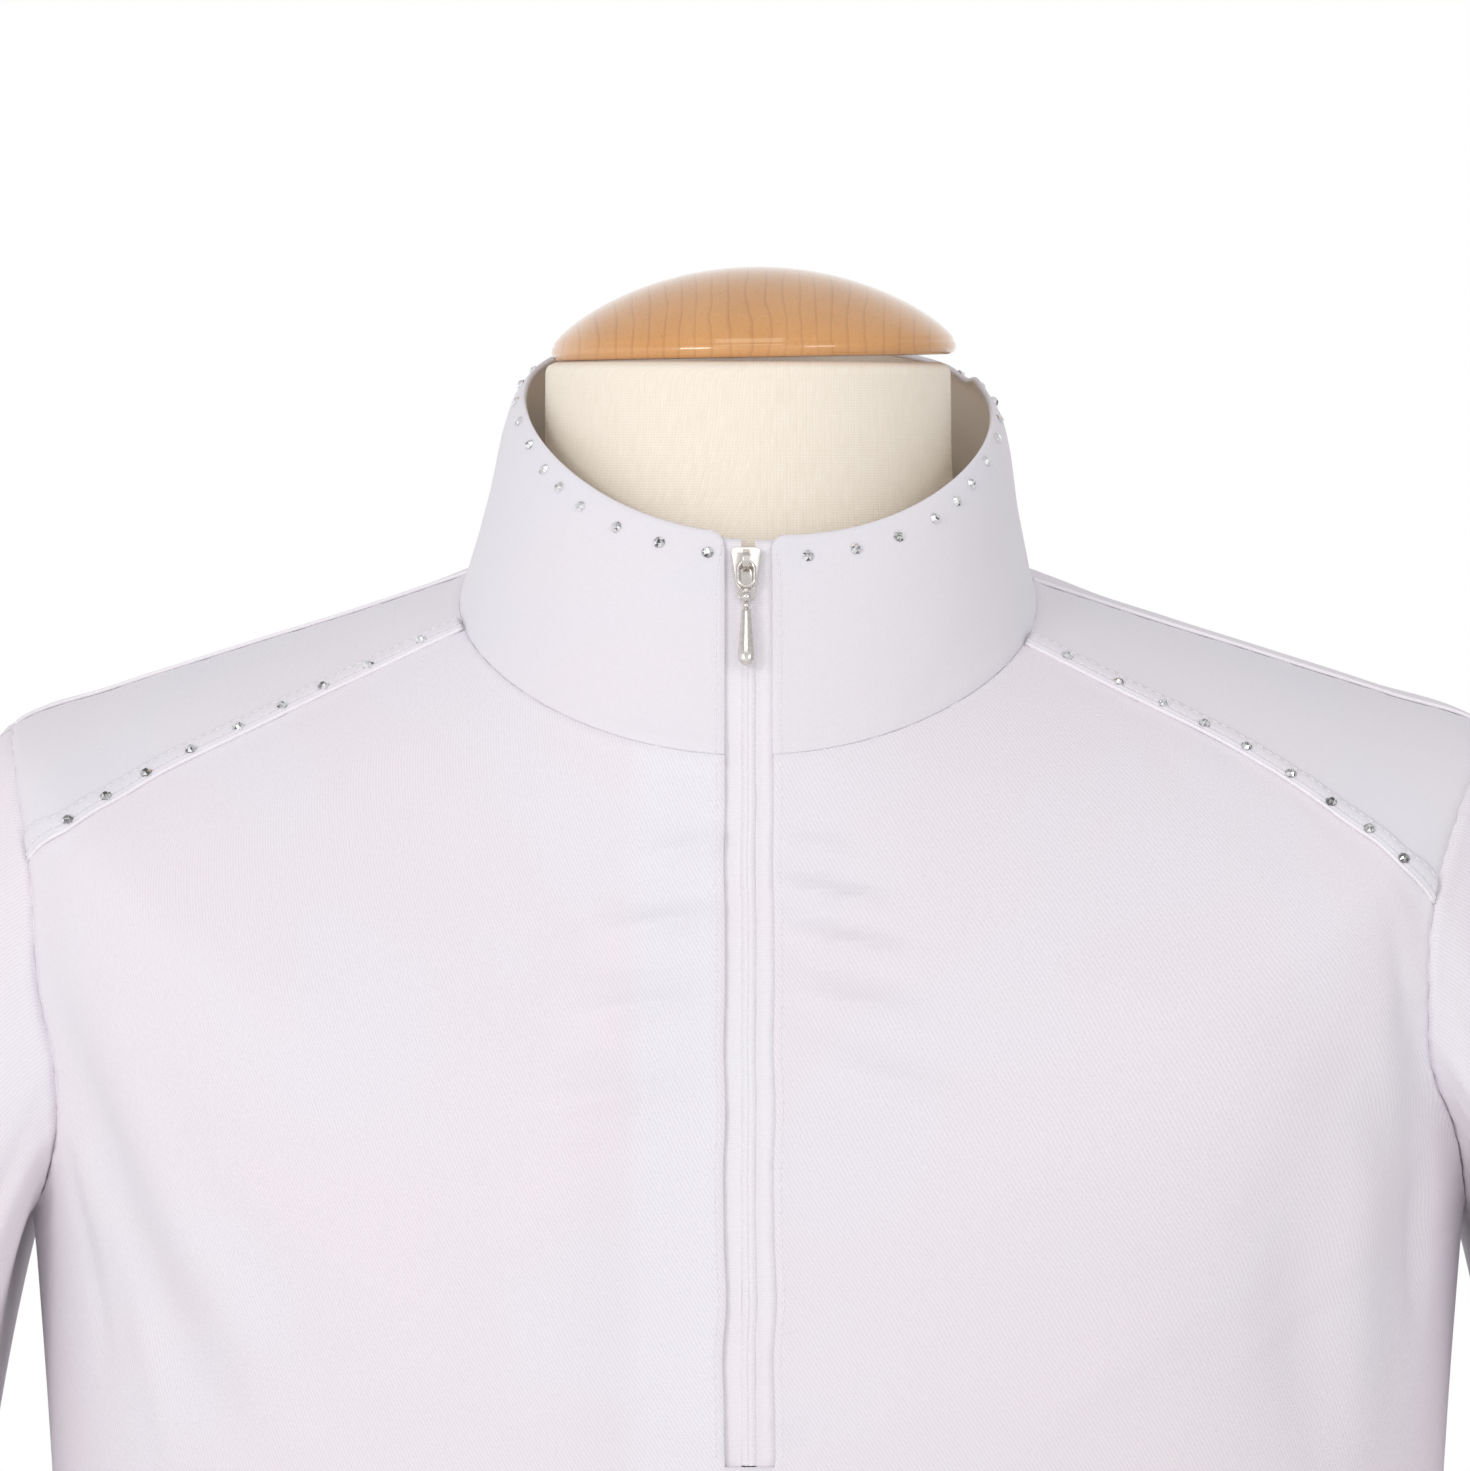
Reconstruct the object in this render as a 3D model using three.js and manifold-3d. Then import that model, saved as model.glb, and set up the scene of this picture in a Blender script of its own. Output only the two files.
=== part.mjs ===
// An equestrian show shirt on a limbless dress form.
// The shirt is a short-sleeved competition shirt: one front with a zipped neck slit, one back, two
// front shoulder yokes with a stitched trim, a stand collar, two set-in sleeves and a coil zip.
// It is worn by a cloth-covered form with a turned beech neck cap, on a pole and a round beech foot.
// Millimetres. +X is to the right seen from the front, +Y to the back, +Z up. The origin is the
// middle of the foot's underside.
import * as THREE from "three";
import { mergeVertices } from "three/addons/utils/BufferGeometryUtils.js";
import Module from "manifold-3d";

const wasm = await Module();
wasm.setup();

// ---------------------------------------------------------------- driving sizes

const NECK_POINT_Z = 825; // where the shoulder meets the collar seam, above the floor
const CLOTH = 1.2; // wall of a shirt panel
const SEAM_GAP = 0.3; // between two panels along a seam
const SLOT_HALF = 6.3; // half the width of the slit that the zip fills
const ZIP_END_DOWN = 262; // how far below the collar seam the zip slit ends

const degrees = (d) => (d * Math.PI) / 180;
const clamp01 = (x) => Math.min(1, Math.max(0, x));
const mix = (a, b, t) => a + (b - a) * t;
const range = (from, to, steps) => Array.from({ length: steps + 1 }, (_, i) => mix(from, to, i / steps));

// ---------------------------------------------------------------- girths

// A smooth curve through a column of a table, which never overshoots its rows.
function column(rows, key, along = "down") {
  const t = rows.map((row) => row[along]);
  const y = rows.map((row) => row[key]);
  const step = t.slice(1).map((next, i) => next - t[i]);
  const slope = step.map((width, i) => (y[i + 1] - y[i]) / width);
  const bend = y.map((_, i) => {
    if (i === 0) return slope[0];
    if (i === y.length - 1) return slope[i - 1];
    if (slope[i - 1] * slope[i] <= 0) return 0;
    const before = 2 * step[i] + step[i - 1];
    const after = step[i] + 2 * step[i - 1];
    return (before + after) / (before / slope[i - 1] + after / slope[i]);
  });
  return (at) => {
    const i = Math.min(step.length - 1, Math.max(0, t.findIndex((knot) => knot > at) - 1));
    const k = at >= t[t.length - 1] ? step.length - 1 : i;
    const s = (at - t[k]) / step[k];
    const rise = s * s * (3 - 2 * s);
    return (
      mix(y[k], y[k + 1], rise) +
      step[k] * s * (1 - s) * ((1 - s) * bend[k] - s * bend[k + 1])
    );
  };
}

// A stack of girths, each an oval ring that may dip at the front and rise at the back.
// angle is 0 at the centre front, 90 at the right side and 180 at the centre back.
const GIRTH = ["down", "halfWidth", "halfDepth", "centreY", "frontZ", "sideZ", "backZ", "blunt"];
function girths(table) {
  const rows = table.map((row) => Object.fromEntries(GIRTH.map((name, i) => [name, row[i]])));
  const at = Object.fromEntries(GIRTH.slice(1).map((name) => [name, column(rows, name)]));
  const surface = (angle, down) => {
    const s = Math.sin(degrees(angle));
    const c = Math.cos(degrees(angle));
    const blunt = at.blunt(down);
    const across = Math.sign(s) * Math.abs(s) ** blunt;
    const along = Math.sign(c) * Math.abs(c) ** blunt;
    const front = at.frontZ(down);
    const side = at.sideZ(down);
    const back = at.backZ(down);
    return new THREE.Vector3(
      at.halfWidth(down) * across,
      at.centreY(down) - at.halfDepth(down) * along,
      NECK_POINT_Z + side + ((front - back) / 2) * c + ((front + back) / 2 - side) * c * c,
    );
  };
  // The angle of the point on the front of a ring that lies x to the right of its middle.
  surface.angleOf = (x, down) => {
    const share = (Math.abs(x) / at.halfWidth(down)) ** (1 / at.blunt(down));
    return (Math.sign(x) * Math.asin(share) * 180) / Math.PI;
  };
  surface.halfWidth = at.halfWidth;
  return surface;
}

// The shirt's body, from the collar seam to the hem. Heights are from the neck point.
const shirtBody = girths([
  [0, 79.5, 83, -13, -38.6, 0, 20, 1.0],
  [28, 107, 93, -10, -60, -8.4, 3, 0.96],
  [66, 142, 105, -8, -86, -17.4, -22, 0.92],
  [104, 178, 117, -7, -112, -27.4, -51, 0.9],
  [135, 203.5, 125, -7, -137, -35.5, -82, 0.88],
  [170, 210, 129, -8, -162, -70, -113, 0.87],
  [215, 205, 132, -8, -192, -122, -155, 0.87],
  [250, 198, 134, -8, -215, -164, -185, 0.88],
  [300, 193, 134, -9, -247, -230, -237, 0.88],
  [350, 190, 132, -11, -290, -285, -286, 0.88],
  [480, 183, 126, -10, -420, -418, -418, 0.88],
  [600, 189, 127, -8, -540, -540, -540, 0.88],
  [700, 194, 129, -7, -640, -640, -640, 0.88],
]);
const HEM_DOWN = 700;

// The form's own body under it, from the top of the neck to its flat underside.
const formBody = girths([
  [-75, 56, 57, -4, 66, 66, 66, 1.0],
  [-45, 56.4, 58, -5, 30, 38, 44, 1.0],
  [-22, 59.6, 62, -7, -6, 18, 34, 1.0],
  [0, 74, 76, -11, -42, -5, 13, 1.0],
  [28, 102, 88, -9, -66, -13.5, -3, 0.96],
  [66, 137, 100, -7, -91, -22.6, -28, 0.92],
  [104, 172, 111, -6, -117, -33, -57, 0.9],
  [135, 195, 119, -6, -142, -43, -88, 0.88],
  [170, 199, 122, -7, -166, -78, -119, 0.87],
  [215, 194, 122, -7, -195, -128, -160, 0.88],
  [250, 184, 121, -8, -217, -168, -189, 0.9],
  [300, 170, 119, -10, -248, -232, -239, 0.92],
  [350, 162, 117, -12, -290, -288, -288, 0.93],
  [480, 128, 94, -8, -420, -420, -420, 0.95],
  [620, 166, 110, -3, -565, -565, -565, 0.93],
  [720, 158, 106, 0, -672, -672, -672, 0.93],
  [745, 146, 97, 0, -692, -692, -692, 0.93],
]);

// ---------------------------------------------------------------- seams on the body

// A surface with its outward direction, measured over a short step.
function faced(surface, angleStep = 0.5, downStep = 1) {
  return (angle, down) => {
    const across = surface(angle + angleStep, down).sub(surface(angle - angleStep, down));
    const along = surface(angle, down + downStep).sub(surface(angle, down - downStep));
    return { point: surface(angle, down), out: along.cross(across).normalize() };
  };
}

// The largest folds of the body. Each is a soft ridge (or a hollow, with a negative height)
// between two places, and reach is how far it spreads to either side.
const FOLD = ["angleFrom", "downFrom", "angleTo", "downTo", "reach", "height"];
const MM_PER_DEGREE = 3.1;
const folds = [
  [-60, 190, -46, 262, 11, -2.8],
  [-50, 178, -36, 268, 13, 2.4],
  [56, 180, 64, 262, 10, -2.4],
  [48, 190, 56, 280, 12, 2.6],
  [40, 205, 50, 290, 12, -2.0],
  [-9, 70, -12, 330, 13, 1.8],
  [-28, 330, -20, 520, 18, 3.0],
  [30, 340, 16, 560, 20, 3.2],
  [70, 330, 58, 560, 20, 3.4],
  [-72, 330, -60, 540, 20, 3.4],
  [150, 230, 165, 520, 18, 3.0],
  [-148, 240, -162, 540, 18, 3.0],
  [118, 250, 124, 560, 18, 3.4],
  [-120, 250, -126, 540, 18, 3.2],
].map((row) => Object.fromEntries(FOLD.map((name, i) => [name, row[i]])));
function foldHeight(angle, down) {
  let height = 0;
  for (const fold of folds) {
    const turn = ((((angle - fold.angleFrom) % 360) + 540) % 360) - 180;
    const lengthX = (fold.angleTo - fold.angleFrom) * MM_PER_DEGREE;
    const lengthZ = fold.downTo - fold.downFrom;
    const x = turn * MM_PER_DEGREE;
    const z = down - fold.downFrom;
    const share = clamp01((x * lengthX + z * lengthZ) / (lengthX ** 2 + lengthZ ** 2));
    const away = Math.hypot(x - share * lengthX, z - share * lengthZ);
    const along = Math.sin(Math.PI * mix(0.12, 0.88, share));
    height += fold.height * along * Math.exp(-((away / fold.reach) ** 2));
  }
  return height;
}
const smoothBody = faced(shirtBody);
function drapedBody(angle, down) {
  const { point, out } = smoothBody(angle, down);
  return point.addScaledVector(out, foldHeight(angle, down));
}
const onBody = faced(drapedBody);

// A line on the body from a table of named columns, of which the first runs along it.
function line(names, table) {
  const rows = table.map((row) => Object.fromEntries(names.map((name, i) => [name, row[i]])));
  const columns = names.slice(1).map((name) => [name, column(rows, name, names[0])]);
  return (at) => Object.fromEntries(columns.map(([name, curve]) => [name, curve(at)]));
}

// Each armhole goes from the shoulder tip (turn 0) down the front to the underarm (180) and up the
// back. angle is counted from the centre front towards its own side.
const ARMHOLE = ["turn", "angle", "down"];
const TIP_DOWN = 134;
const UNDERARM_DOWN = 252;
const backArmhole = [
  [200, 101, 248],
  [220, 111, 235],
  [240, 117, 216],
  [260, 119, 196],
  [280, 118, 176],
  [300, 113, 158],
  [320, 105, 145],
  [340, 97, 137],
  [360, 90, TIP_DOWN],
];
const armholes = {
  1: line(ARMHOLE, [
    [0, 90, TIP_DOWN],
    [20, 74, 134.5],
    [35, 66.5, 140.5],
    [48, 60.4, 151],
    [65, 58.2, 168],
    [80, 58.8, 183],
    [100, 61, 198],
    [120, 65.5, 213],
    [140, 71.5, 229],
    [160, 79.5, 244],
    [180, 90, UNDERARM_DOWN],
    ...backArmhole,
  ]),
  [-1]: line(ARMHOLE, [
    [0, 90, TIP_DOWN],
    [20, 80, 135.5],
    [35, 74.5, 141.5],
    [48, 68, 151],
    [65, 65, 166],
    [80, 64, 183],
    [100, 62.6, 198],
    [120, 63.4, 213],
    [140, 68, 230],
    [160, 77.5, 245],
    [180, 90, UNDERARM_DOWN],
    ...backArmhole,
  ]),
};
function armhole(side, turn) {
  const spot = armholes[side](turn);
  return { angle: side * spot.angle, down: spot.down };
}

// Each yoke seam leaves the collar seam (share 0) and meets the armhole at YOKE_TURN (share 1).
const YOKE_SEAM = ["share", "angle", "down"];
const YOKE_TURN = 48;
const yokeSeams = {
  1: line(YOKE_SEAM, [
    [0, 69.6, 0],
    [0.2, 66.4, 32],
    [0.44, 64.1, 66],
    [0.68, 60.3, 102],
    [0.84, 57.9, 125],
    [0.93, 58.2, 138],
    [1, 60.4, 151],
  ]),
  [-1]: line(YOKE_SEAM, [
    [0, 75.4, 0],
    [0.2, 71.4, 32],
    [0.44, 67.7, 66],
    [0.68, 64.8, 102],
    [0.84, 63.2, 125],
    [0.93, 63.8, 138],
    [1, 68, 151],
  ]),
};
function yokeSeam(side, share) {
  const spot = yokeSeams[side](share);
  return { angle: side * spot.angle, down: spot.down };
}
const yokeNeckAngle = (side) => yokeSeam(side, 0).angle;

// The shoulder seams run along the crest of the shoulder, a little behind the middle at the neck.
const SHOULDER_SEAM = ["down", "angle"];
const shoulderSeams = {
  1: line(SHOULDER_SEAM, [
    [0, 102],
    [20, 101],
    [50, 97.5],
    [80, 94],
    [110, 92],
    [TIP_DOWN, 90],
  ]),
  [-1]: line(SHOULDER_SEAM, [
    [0, 107],
    [20, 105.5],
    [50, 101.5],
    [80, 97.5],
    [110, 94.5],
    [TIP_DOWN, 90],
  ]),
};
const shoulderSeam = (side, down) => ({ angle: side * shoulderSeams[side](down).angle, down });

// How many straight stretches each seam is made of. Both pieces of a seam share them.
const STEPS = {
  frontNeck: 6,
  yokeNeck: 4,
  backNeck: 6,
  yoke: 8,
  frontArm: 9,
  backArm: 11,
  side: 11,
};

// ---------------------------------------------------------------- walls of cloth

// A solid from triangles, turned so that its faces point out.
function solid(points, triangles) {
  const flat = points.flatMap((p) => [p.x, p.y, p.z]);
  const signed = ([a, b, c]) => points[a].dot(points[b].clone().cross(points[c]));
  const volume = triangles.reduce((sum, triangle) => sum + signed(triangle), 0);
  const faces = volume < 0 ? triangles.map(([a, b, c]) => [a, c, b]) : triangles;
  return new THREE.BufferGeometry()
    .setAttribute("position", new THREE.Float32BufferAttribute(flat, 3))
    .setIndex(faces.flat());
}

// A wall between two offsets of a surface, on a grid of columns us by rows vs. keep leaves cells
// out, ring closes the columns on themselves, and the free edges draw back by gap.
const PLAIN_WALL = { outer: 0, inner: -CLOTH, ring: false, keep: () => true, gap: SEAM_GAP / 2 };
function wall(options) {
  const { us, vs, at, outer, inner, ring, keep, gap } = { ...PLAIN_WALL, ...options };
  const nu = us.length;
  const nv = vs.length;
  const grid = us.map((u) => vs.map((v) => at(u, v)));
  const drawn = grid.map((line, i) =>
    line.map(({ point, out }, j) => {
      const moved = point.clone();
      const pull = (other) => moved.add(other.point.clone().sub(point).setLength(gap));
      if (j === 0) pull(grid[i][1]);
      if (j === nv - 1) pull(grid[i][nv - 2]);
      if (!ring && i === 0) pull(grid[1][j]);
      if (!ring && i === nu - 1) pull(grid[nu - 2][j]);
      return { point: moved, out };
    }),
  );
  const lift = (offset) => drawn.flat().map(({ point, out }) => point.clone().addScaledVector(out, offset));
  const points = [...lift(outer), ...lift(inner)];
  const lower = nu * nv;
  const id = (i, j) => (i % nu) * nv + j;
  const columns = ring ? nu : nu - 1;
  const kept = (i, j) => {
    if (j < 0 || j >= nv - 1 || (!ring && (i < 0 || i >= columns))) return false;
    return keep(us[(i + nu) % nu], vs[j]);
  };
  const triangles = [];
  const quad = (a, b, c, d) => triangles.push([a, b, c], [a, c, d]);
  for (let i = 0; i < columns; i++) {
    for (let j = 0; j < nv - 1; j++) {
      if (!kept(i, j)) continue;
      const [a, b, c, d] = [id(i, j), id(i + 1, j), id(i + 1, j + 1), id(i, j + 1)];
      quad(a, b, c, d);
      quad(lower + d, lower + c, lower + b, lower + a);
      if (!kept(i, j - 1)) quad(b, a, lower + a, lower + b);
      if (!kept(i, j + 1)) quad(d, c, lower + c, lower + d);
      if (!kept(i - 1, j)) quad(a, d, lower + d, lower + a);
      if (!kept(i + 1, j)) quad(c, b, lower + b, lower + c);
    }
  }
  const used = [...new Set(triangles.flat())].sort((p, q) => p - q);
  const place = new Map(used.map((old, i) => [old, i]));
  return solid(used.map((i) => points[i]), triangles.map((t) => t.map((i) => place.get(i))));
}

// A patch of the body between four edges, each a function of 0 to 1 that gives an angle and a
// distance down. left and right run upwards, bottom and top run from left to right. The edges are
// blended in distances across the body, measured from the line at the angle middle. rise is how
// much of the top edge is felt at a height.
function patch({ left, right, bottom, top, middle = 0, rise = (v) => v }) {
  const flat = ({ angle, down }) => ({ across: (angle - middle) * shirtBody.halfWidth(down), down });
  const corner = [bottom(0), bottom(1), top(0), top(1)].map(flat);
  return (u, v) => {
    const [l, r, b, t] = [left(v), right(v), bottom(u), top(u)].map(flat);
    const blend = (key) =>
      mix(l[key], r[key], u) +
      mix(b[key], t[key], rise(v)) -
      mix(mix(corner[0][key], corner[1][key], u), mix(corner[2][key], corner[3][key], u), rise(v));
    const down = blend("down");
    return { angle: middle + blend("across") / shirtBody.halfWidth(down), down };
  };
}

// ---------------------------------------------------------------- pieces

const WHITE_TWILL = new THREE.MeshStandardMaterial({ color: 0xf0ecf0, roughness: 0.85, metalness: 0 });
const WHITE_SATEEN = new THREE.MeshStandardMaterial({ color: 0xe6e1e6, roughness: 0.6, metalness: 0 });
const ZIP_WHITE = new THREE.MeshStandardMaterial({ color: 0xf1eeea, roughness: 0.7, metalness: 0 });
const NICKEL = new THREE.MeshStandardMaterial({ color: 0xc9c8c6, roughness: 0.2, metalness: 1 });
const CREAM_JERSEY = new THREE.MeshStandardMaterial({ color: 0xf2e8d8, roughness: 0.95, metalness: 0 });
const BEECH = new THREE.MeshStandardMaterial({ color: 0xd69a56, roughness: 0.3, metalness: 0 });

const part = new THREE.Group();
function add(name, geometry, material) {
  const mesh = new THREE.Mesh(geometry, material);
  mesh.name = name;
  part.add(mesh);
}
const SIDES = [
  ["left", -1],
  ["right", 1],
];

// ---------------------------------------------------------------- front

// Half of the front, from the slit's edge to one side. Its lower part is a plain tube, and its
// upper part follows the armhole, the yoke seam and the collar seam.
const UNDER_SHARE = 1 - UNDERARM_DOWN / HEM_DOWN;
const armShare = (v) => clamp01((v - UNDER_SHARE) / (1 - UNDER_SHARE));
const armRise = (v) => armShare(v) ** 2;
const FRONT_NECK_SHARE = 0.42; // share of the top edge that is collar seam
function frontHalf(side) {
  const slotAngle = (down) => shirtBody.angleOf(side * SLOT_HALF, down);
  const neckShare = (u) => (u - FRONT_NECK_SHARE) / (1 - FRONT_NECK_SHARE);
  return patch({
    left: (v) => ({ angle: slotAngle(HEM_DOWN * (1 - v)), down: HEM_DOWN * (1 - v) }),
    right: (v) =>
      v > UNDER_SHARE
        ? armhole(side, mix(180, YOKE_TURN, armShare(v)))
        : { angle: side * 90, down: HEM_DOWN * (1 - v) },
    bottom: (u) => ({ angle: mix(slotAngle(HEM_DOWN), side * 90, u), down: HEM_DOWN }),
    top: (u) =>
      u > FRONT_NECK_SHARE
        ? yokeSeam(side, neckShare(u))
        : { angle: mix(slotAngle(0), yokeNeckAngle(side), u / FRONT_NECK_SHARE), down: 0 },
    rise: armRise,
  });
}

// The front is both halves and the strip between them, which is open above the end of the slit.
const frontPatches = { 1: frontHalf(1), [-1]: frontHalf(-1) };
function onFront(u, v) {
  const side = Math.sign(u);
  const down = HEM_DOWN * (1 - v);
  if (Math.abs(u) < 1) return onBody(shirtBody.angleOf(u * SLOT_HALF, down), down);
  const spot = frontPatches[side](Math.abs(u) - 1, v);
  return onBody(spot.angle, spot.down);
}
const frontHalfColumns = [
  ...range(0, FRONT_NECK_SHARE, STEPS.frontNeck),
  ...range(FRONT_NECK_SHARE, 1, STEPS.yoke).slice(1),
].map((u) => 1 + u);
const slitTop = 1 - ZIP_END_DOWN / HEM_DOWN;
const sideRows = [...range(0, slitTop, STEPS.side - 1), UNDER_SHARE];
const frontArmRows = range(UNDER_SHARE, 1, STEPS.frontArm);
const frontColumns = [...frontHalfColumns.map((u) => -u).reverse(), 0, ...frontHalfColumns];
add(
  "front",
  wall({
    us: frontColumns,
    vs: [...sideRows, ...frontArmRows.slice(1)],
    at: onFront,
    keep: (u, v) => v < slitTop - 1e-6 || u < -1 - 1e-6 || u > 1 - 1e-6,
  }),
  WHITE_TWILL,
);

// ---------------------------------------------------------------- back

// Half of the back, from the centre line to one side. Its upper part follows the armhole and the
// shoulder seam.
const BACK_NECK_SHARE = 0.36; // share of the top edge that is collar seam
function backHalf(side) {
  const neckShare = (u) => (u - BACK_NECK_SHARE) / (1 - BACK_NECK_SHARE);
  return patch({
    left: (v) => ({ angle: side * 180, down: HEM_DOWN * (1 - v) }),
    right: (v) =>
      v > UNDER_SHARE
        ? armhole(side, mix(180, 360, armShare(v)))
        : { angle: side * 90, down: HEM_DOWN * (1 - v) },
    bottom: (u) => ({ angle: side * mix(180, 90, u), down: HEM_DOWN }),
    top: (u) =>
      u > BACK_NECK_SHARE
        ? shoulderSeam(side, TIP_DOWN * neckShare(u))
        : { angle: mix(side * 180, shoulderSeam(side, 0).angle, u / BACK_NECK_SHARE), down: 0 },
    middle: side * 180,
    rise: armRise,
  });
}
const backPatches = { 1: backHalf(1), [-1]: backHalf(-1) };
function onBack(u, v) {
  const spot = backPatches[u < 0 ? -1 : 1](Math.abs(u), v);
  return onBody(spot.angle, spot.down);
}
const backHalfColumns = [
  ...range(0, BACK_NECK_SHARE, STEPS.backNeck).slice(1),
  ...range(BACK_NECK_SHARE, 1, STEPS.yoke).slice(1),
];
const backArmRows = range(UNDER_SHARE, 1, STEPS.backArm);
add(
  "back",
  wall({
    us: [...backHalfColumns.map((u) => -u).reverse(), 0, ...backHalfColumns],
    vs: [...sideRows, ...backArmRows.slice(1)],
    at: onBack,
  }),
  WHITE_TWILL,
);

// ---------------------------------------------------------------- yokes

// A yoke lies between the collar seam, the shoulder seam, the armhole and the yoke seam.
function onYoke(side) {
  const spot = patch({
    left: (v) => ({ angle: mix(yokeNeckAngle(side), shoulderSeam(side, 0).angle, v), down: 0 }),
    right: (v) => armhole(side, mix(YOKE_TURN, 0, v)),
    bottom: (u) => yokeSeam(side, u),
    top: (u) => shoulderSeam(side, TIP_DOWN * u),
  });
  return (u, v) => {
    const { angle, down } = spot(u, v);
    return onBody(angle, down);
  };
}

// The stitched trim lies on the yoke along its lower edge.
const TRIM = { width: 6.5, lift: 0.3, thick: 1.0, endGap: 0.02 };
function onTrim(side) {
  const yoke = onYoke(side);
  return (u, v) => {
    const halfWidth = yoke(u, 0.5).point.distanceTo(yoke(u, 0).point);
    return yoke(u, (v * TRIM.width * 0.5) / halfWidth);
  };
}
for (const [name, side] of SIDES) {
  const yokeRows = range(0, 1, STEPS.yokeNeck);
  add(`yoke_${name}`, wall({ us: range(0, 1, STEPS.yoke), vs: yokeRows, at: onYoke(side) }), WHITE_SATEEN);
  add(
    `yoke_trim_${name}`,
    wall({
      us: range(TRIM.endGap, 1 - TRIM.endGap, 2 * STEPS.yoke),
      vs: [0, 1],
      at: onTrim(side),
      outer: TRIM.lift + TRIM.thick,
      inner: TRIM.lift,
    }),
    WHITE_SATEEN,
  );
}

// ---------------------------------------------------------------- collar

// The stand collar, from its top edge to the collar seam. Its top edge rolls in at the sides, leans
// a little to the right and sits a little higher on the left.
const COLLAR = { height: 51, cloth: 1.6, lean: 2.8, tilt: 0.037, straighten: 50 };
const collarRings = girths([
  [-COLLAR.height, 65, 68.5, -6, 19.8, 55.5, 72.5, 0.9],
  [-46, 68.4, 70.5, -6.5, 14.4, 50, 67.5, 0.93],
  [-25, 73.4, 76.5, -9.5, -9, 25.5, 43, 0.98],
  [0, 79.5, 83, -13, -38.6, 0, 20, 1.0],
]);
const collarLean = (down) => (-COLLAR.lean * down) / COLLAR.height;
function collarBand(angle, down) {
  const point = collarRings(angle, down);
  point.z += (COLLAR.tilt * point.x * down) / COLLAR.height;
  point.x += collarLean(down);
  return point;
}
collarBand.angleOf = (x, down) => collarRings.angleOf(x - collarLean(down), down);
const onCollar = faced(collarBand);

// The columns of the collar stand on those of the panels below it.
const slitEdge = shirtBody.angleOf(SLOT_HALF, 0);
function neckAngles(side) {
  const [yoke, shoulder] = [side * yokeNeckAngle(side), side * shoulderSeam(side, 0).angle];
  return [
    ...range(slitEdge, yoke, STEPS.frontNeck),
    ...range(yoke, shoulder, STEPS.yokeNeck).slice(1),
    ...range(shoulder, 180, STEPS.backNeck).slice(1),
  ];
}
const collarColumns = [...neckAngles(1), ...neckAngles(-1).map((angle) => 360 - angle).reverse().slice(1)];
add(
  "collar",
  wall({
    us: collarColumns,
    vs: [0, 0.2, 0.45, 0.7, 0.9, 1],
    at: (angle, v) => {
      const down = -COLLAR.height * v;
      const side = angle > 180 ? -1 : 1;
      const own = Math.min(angle, 360 - angle) - slitEdge;
      const edge = collarBand.angleOf(side * SLOT_HALF, down) - side * slitEdge;
      return onCollar(angle + edge * clamp01(1 - own / COLLAR.straighten), down);
    },
    inner: -COLLAR.cloth,
  }),
  WHITE_SATEEN,
);

// ---------------------------------------------------------------- sleeves

// A sleeve runs from its armhole to an oval hem. Each line of it leaves the armhole along one of
// these directions and reaches the hem hanging down.
const SLEEVE = {
  hemOuter: [289, -4, -243],
  hemInner: [222, -4, -302],
  hemHalfDepth: 74,
  top: [96, 0, -56],
  front: [56, -30, -32],
  back: [56, 26, -32],
  under: [24, 0, -38],
  hang: [26, 0, -92],
  start: 1.0,
  rows: 11,
};
function sleeve(side) {
  const place = (key) => new THREE.Vector3(...SLEEVE[key]);
  const middle = place("hemOuter").add(place("hemInner")).multiplyScalar(0.5);
  const half = place("hemOuter").sub(place("hemInner")).multiplyScalar(0.5);
  const mirror = new THREE.Vector3(side, 1, 1);
  return (turn, t) => {
    const s = Math.sin(degrees(turn));
    const c = Math.cos(degrees(turn));
    const { angle, down } = armhole(side, turn);
    const leave = place(c > 0 ? "top" : "under").multiplyScalar(c * c);
    leave.addScaledVector(place(s > 0 ? "front" : "back"), s * s).multiply(mirror);
    const from = drapedBody(angle, down).addScaledVector(leave.clone().normalize(), SLEEVE.start);
    const to = middle.clone().addScaledVector(half, c).multiply(mirror);
    to.y -= SLEEVE.hemHalfDepth * s;
    to.z += NECK_POINT_Z;
    return from
      .multiplyScalar(2 * t ** 3 - 3 * t ** 2 + 1)
      .addScaledVector(leave, t ** 3 - 2 * t ** 2 + t)
      .addScaledVector(to, 3 * t ** 2 - 2 * t ** 3)
      .addScaledVector(place("hang").multiply(mirror), t ** 3 - t ** 2);
  };
}

// The sleeve's columns start at the points of the yoke, the front and the back.
const armTurns = [
  ...range(0, YOKE_TURN, STEPS.yokeNeck),
  ...frontArmRows.map((v) => mix(180, YOKE_TURN, armShare(v))).reverse().slice(1),
  ...range(180, 360, STEPS.backArm).slice(1, -1),
];
for (const [name, side] of SIDES) {
  const surface = faced(sleeve(side), 0.5, 0.004);
  const at = (turn, along) => {
    const { point, out } = surface(turn, along);
    return { point, out: out.multiplyScalar(-side) };
  };
  const vs = range(0, 1, SLEEVE.rows);
  add(`sleeve_${name}`, wall({ us: armTurns, vs, at, ring: true, gap: 0 }), WHITE_TWILL);
}

// ---------------------------------------------------------------- zip

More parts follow.
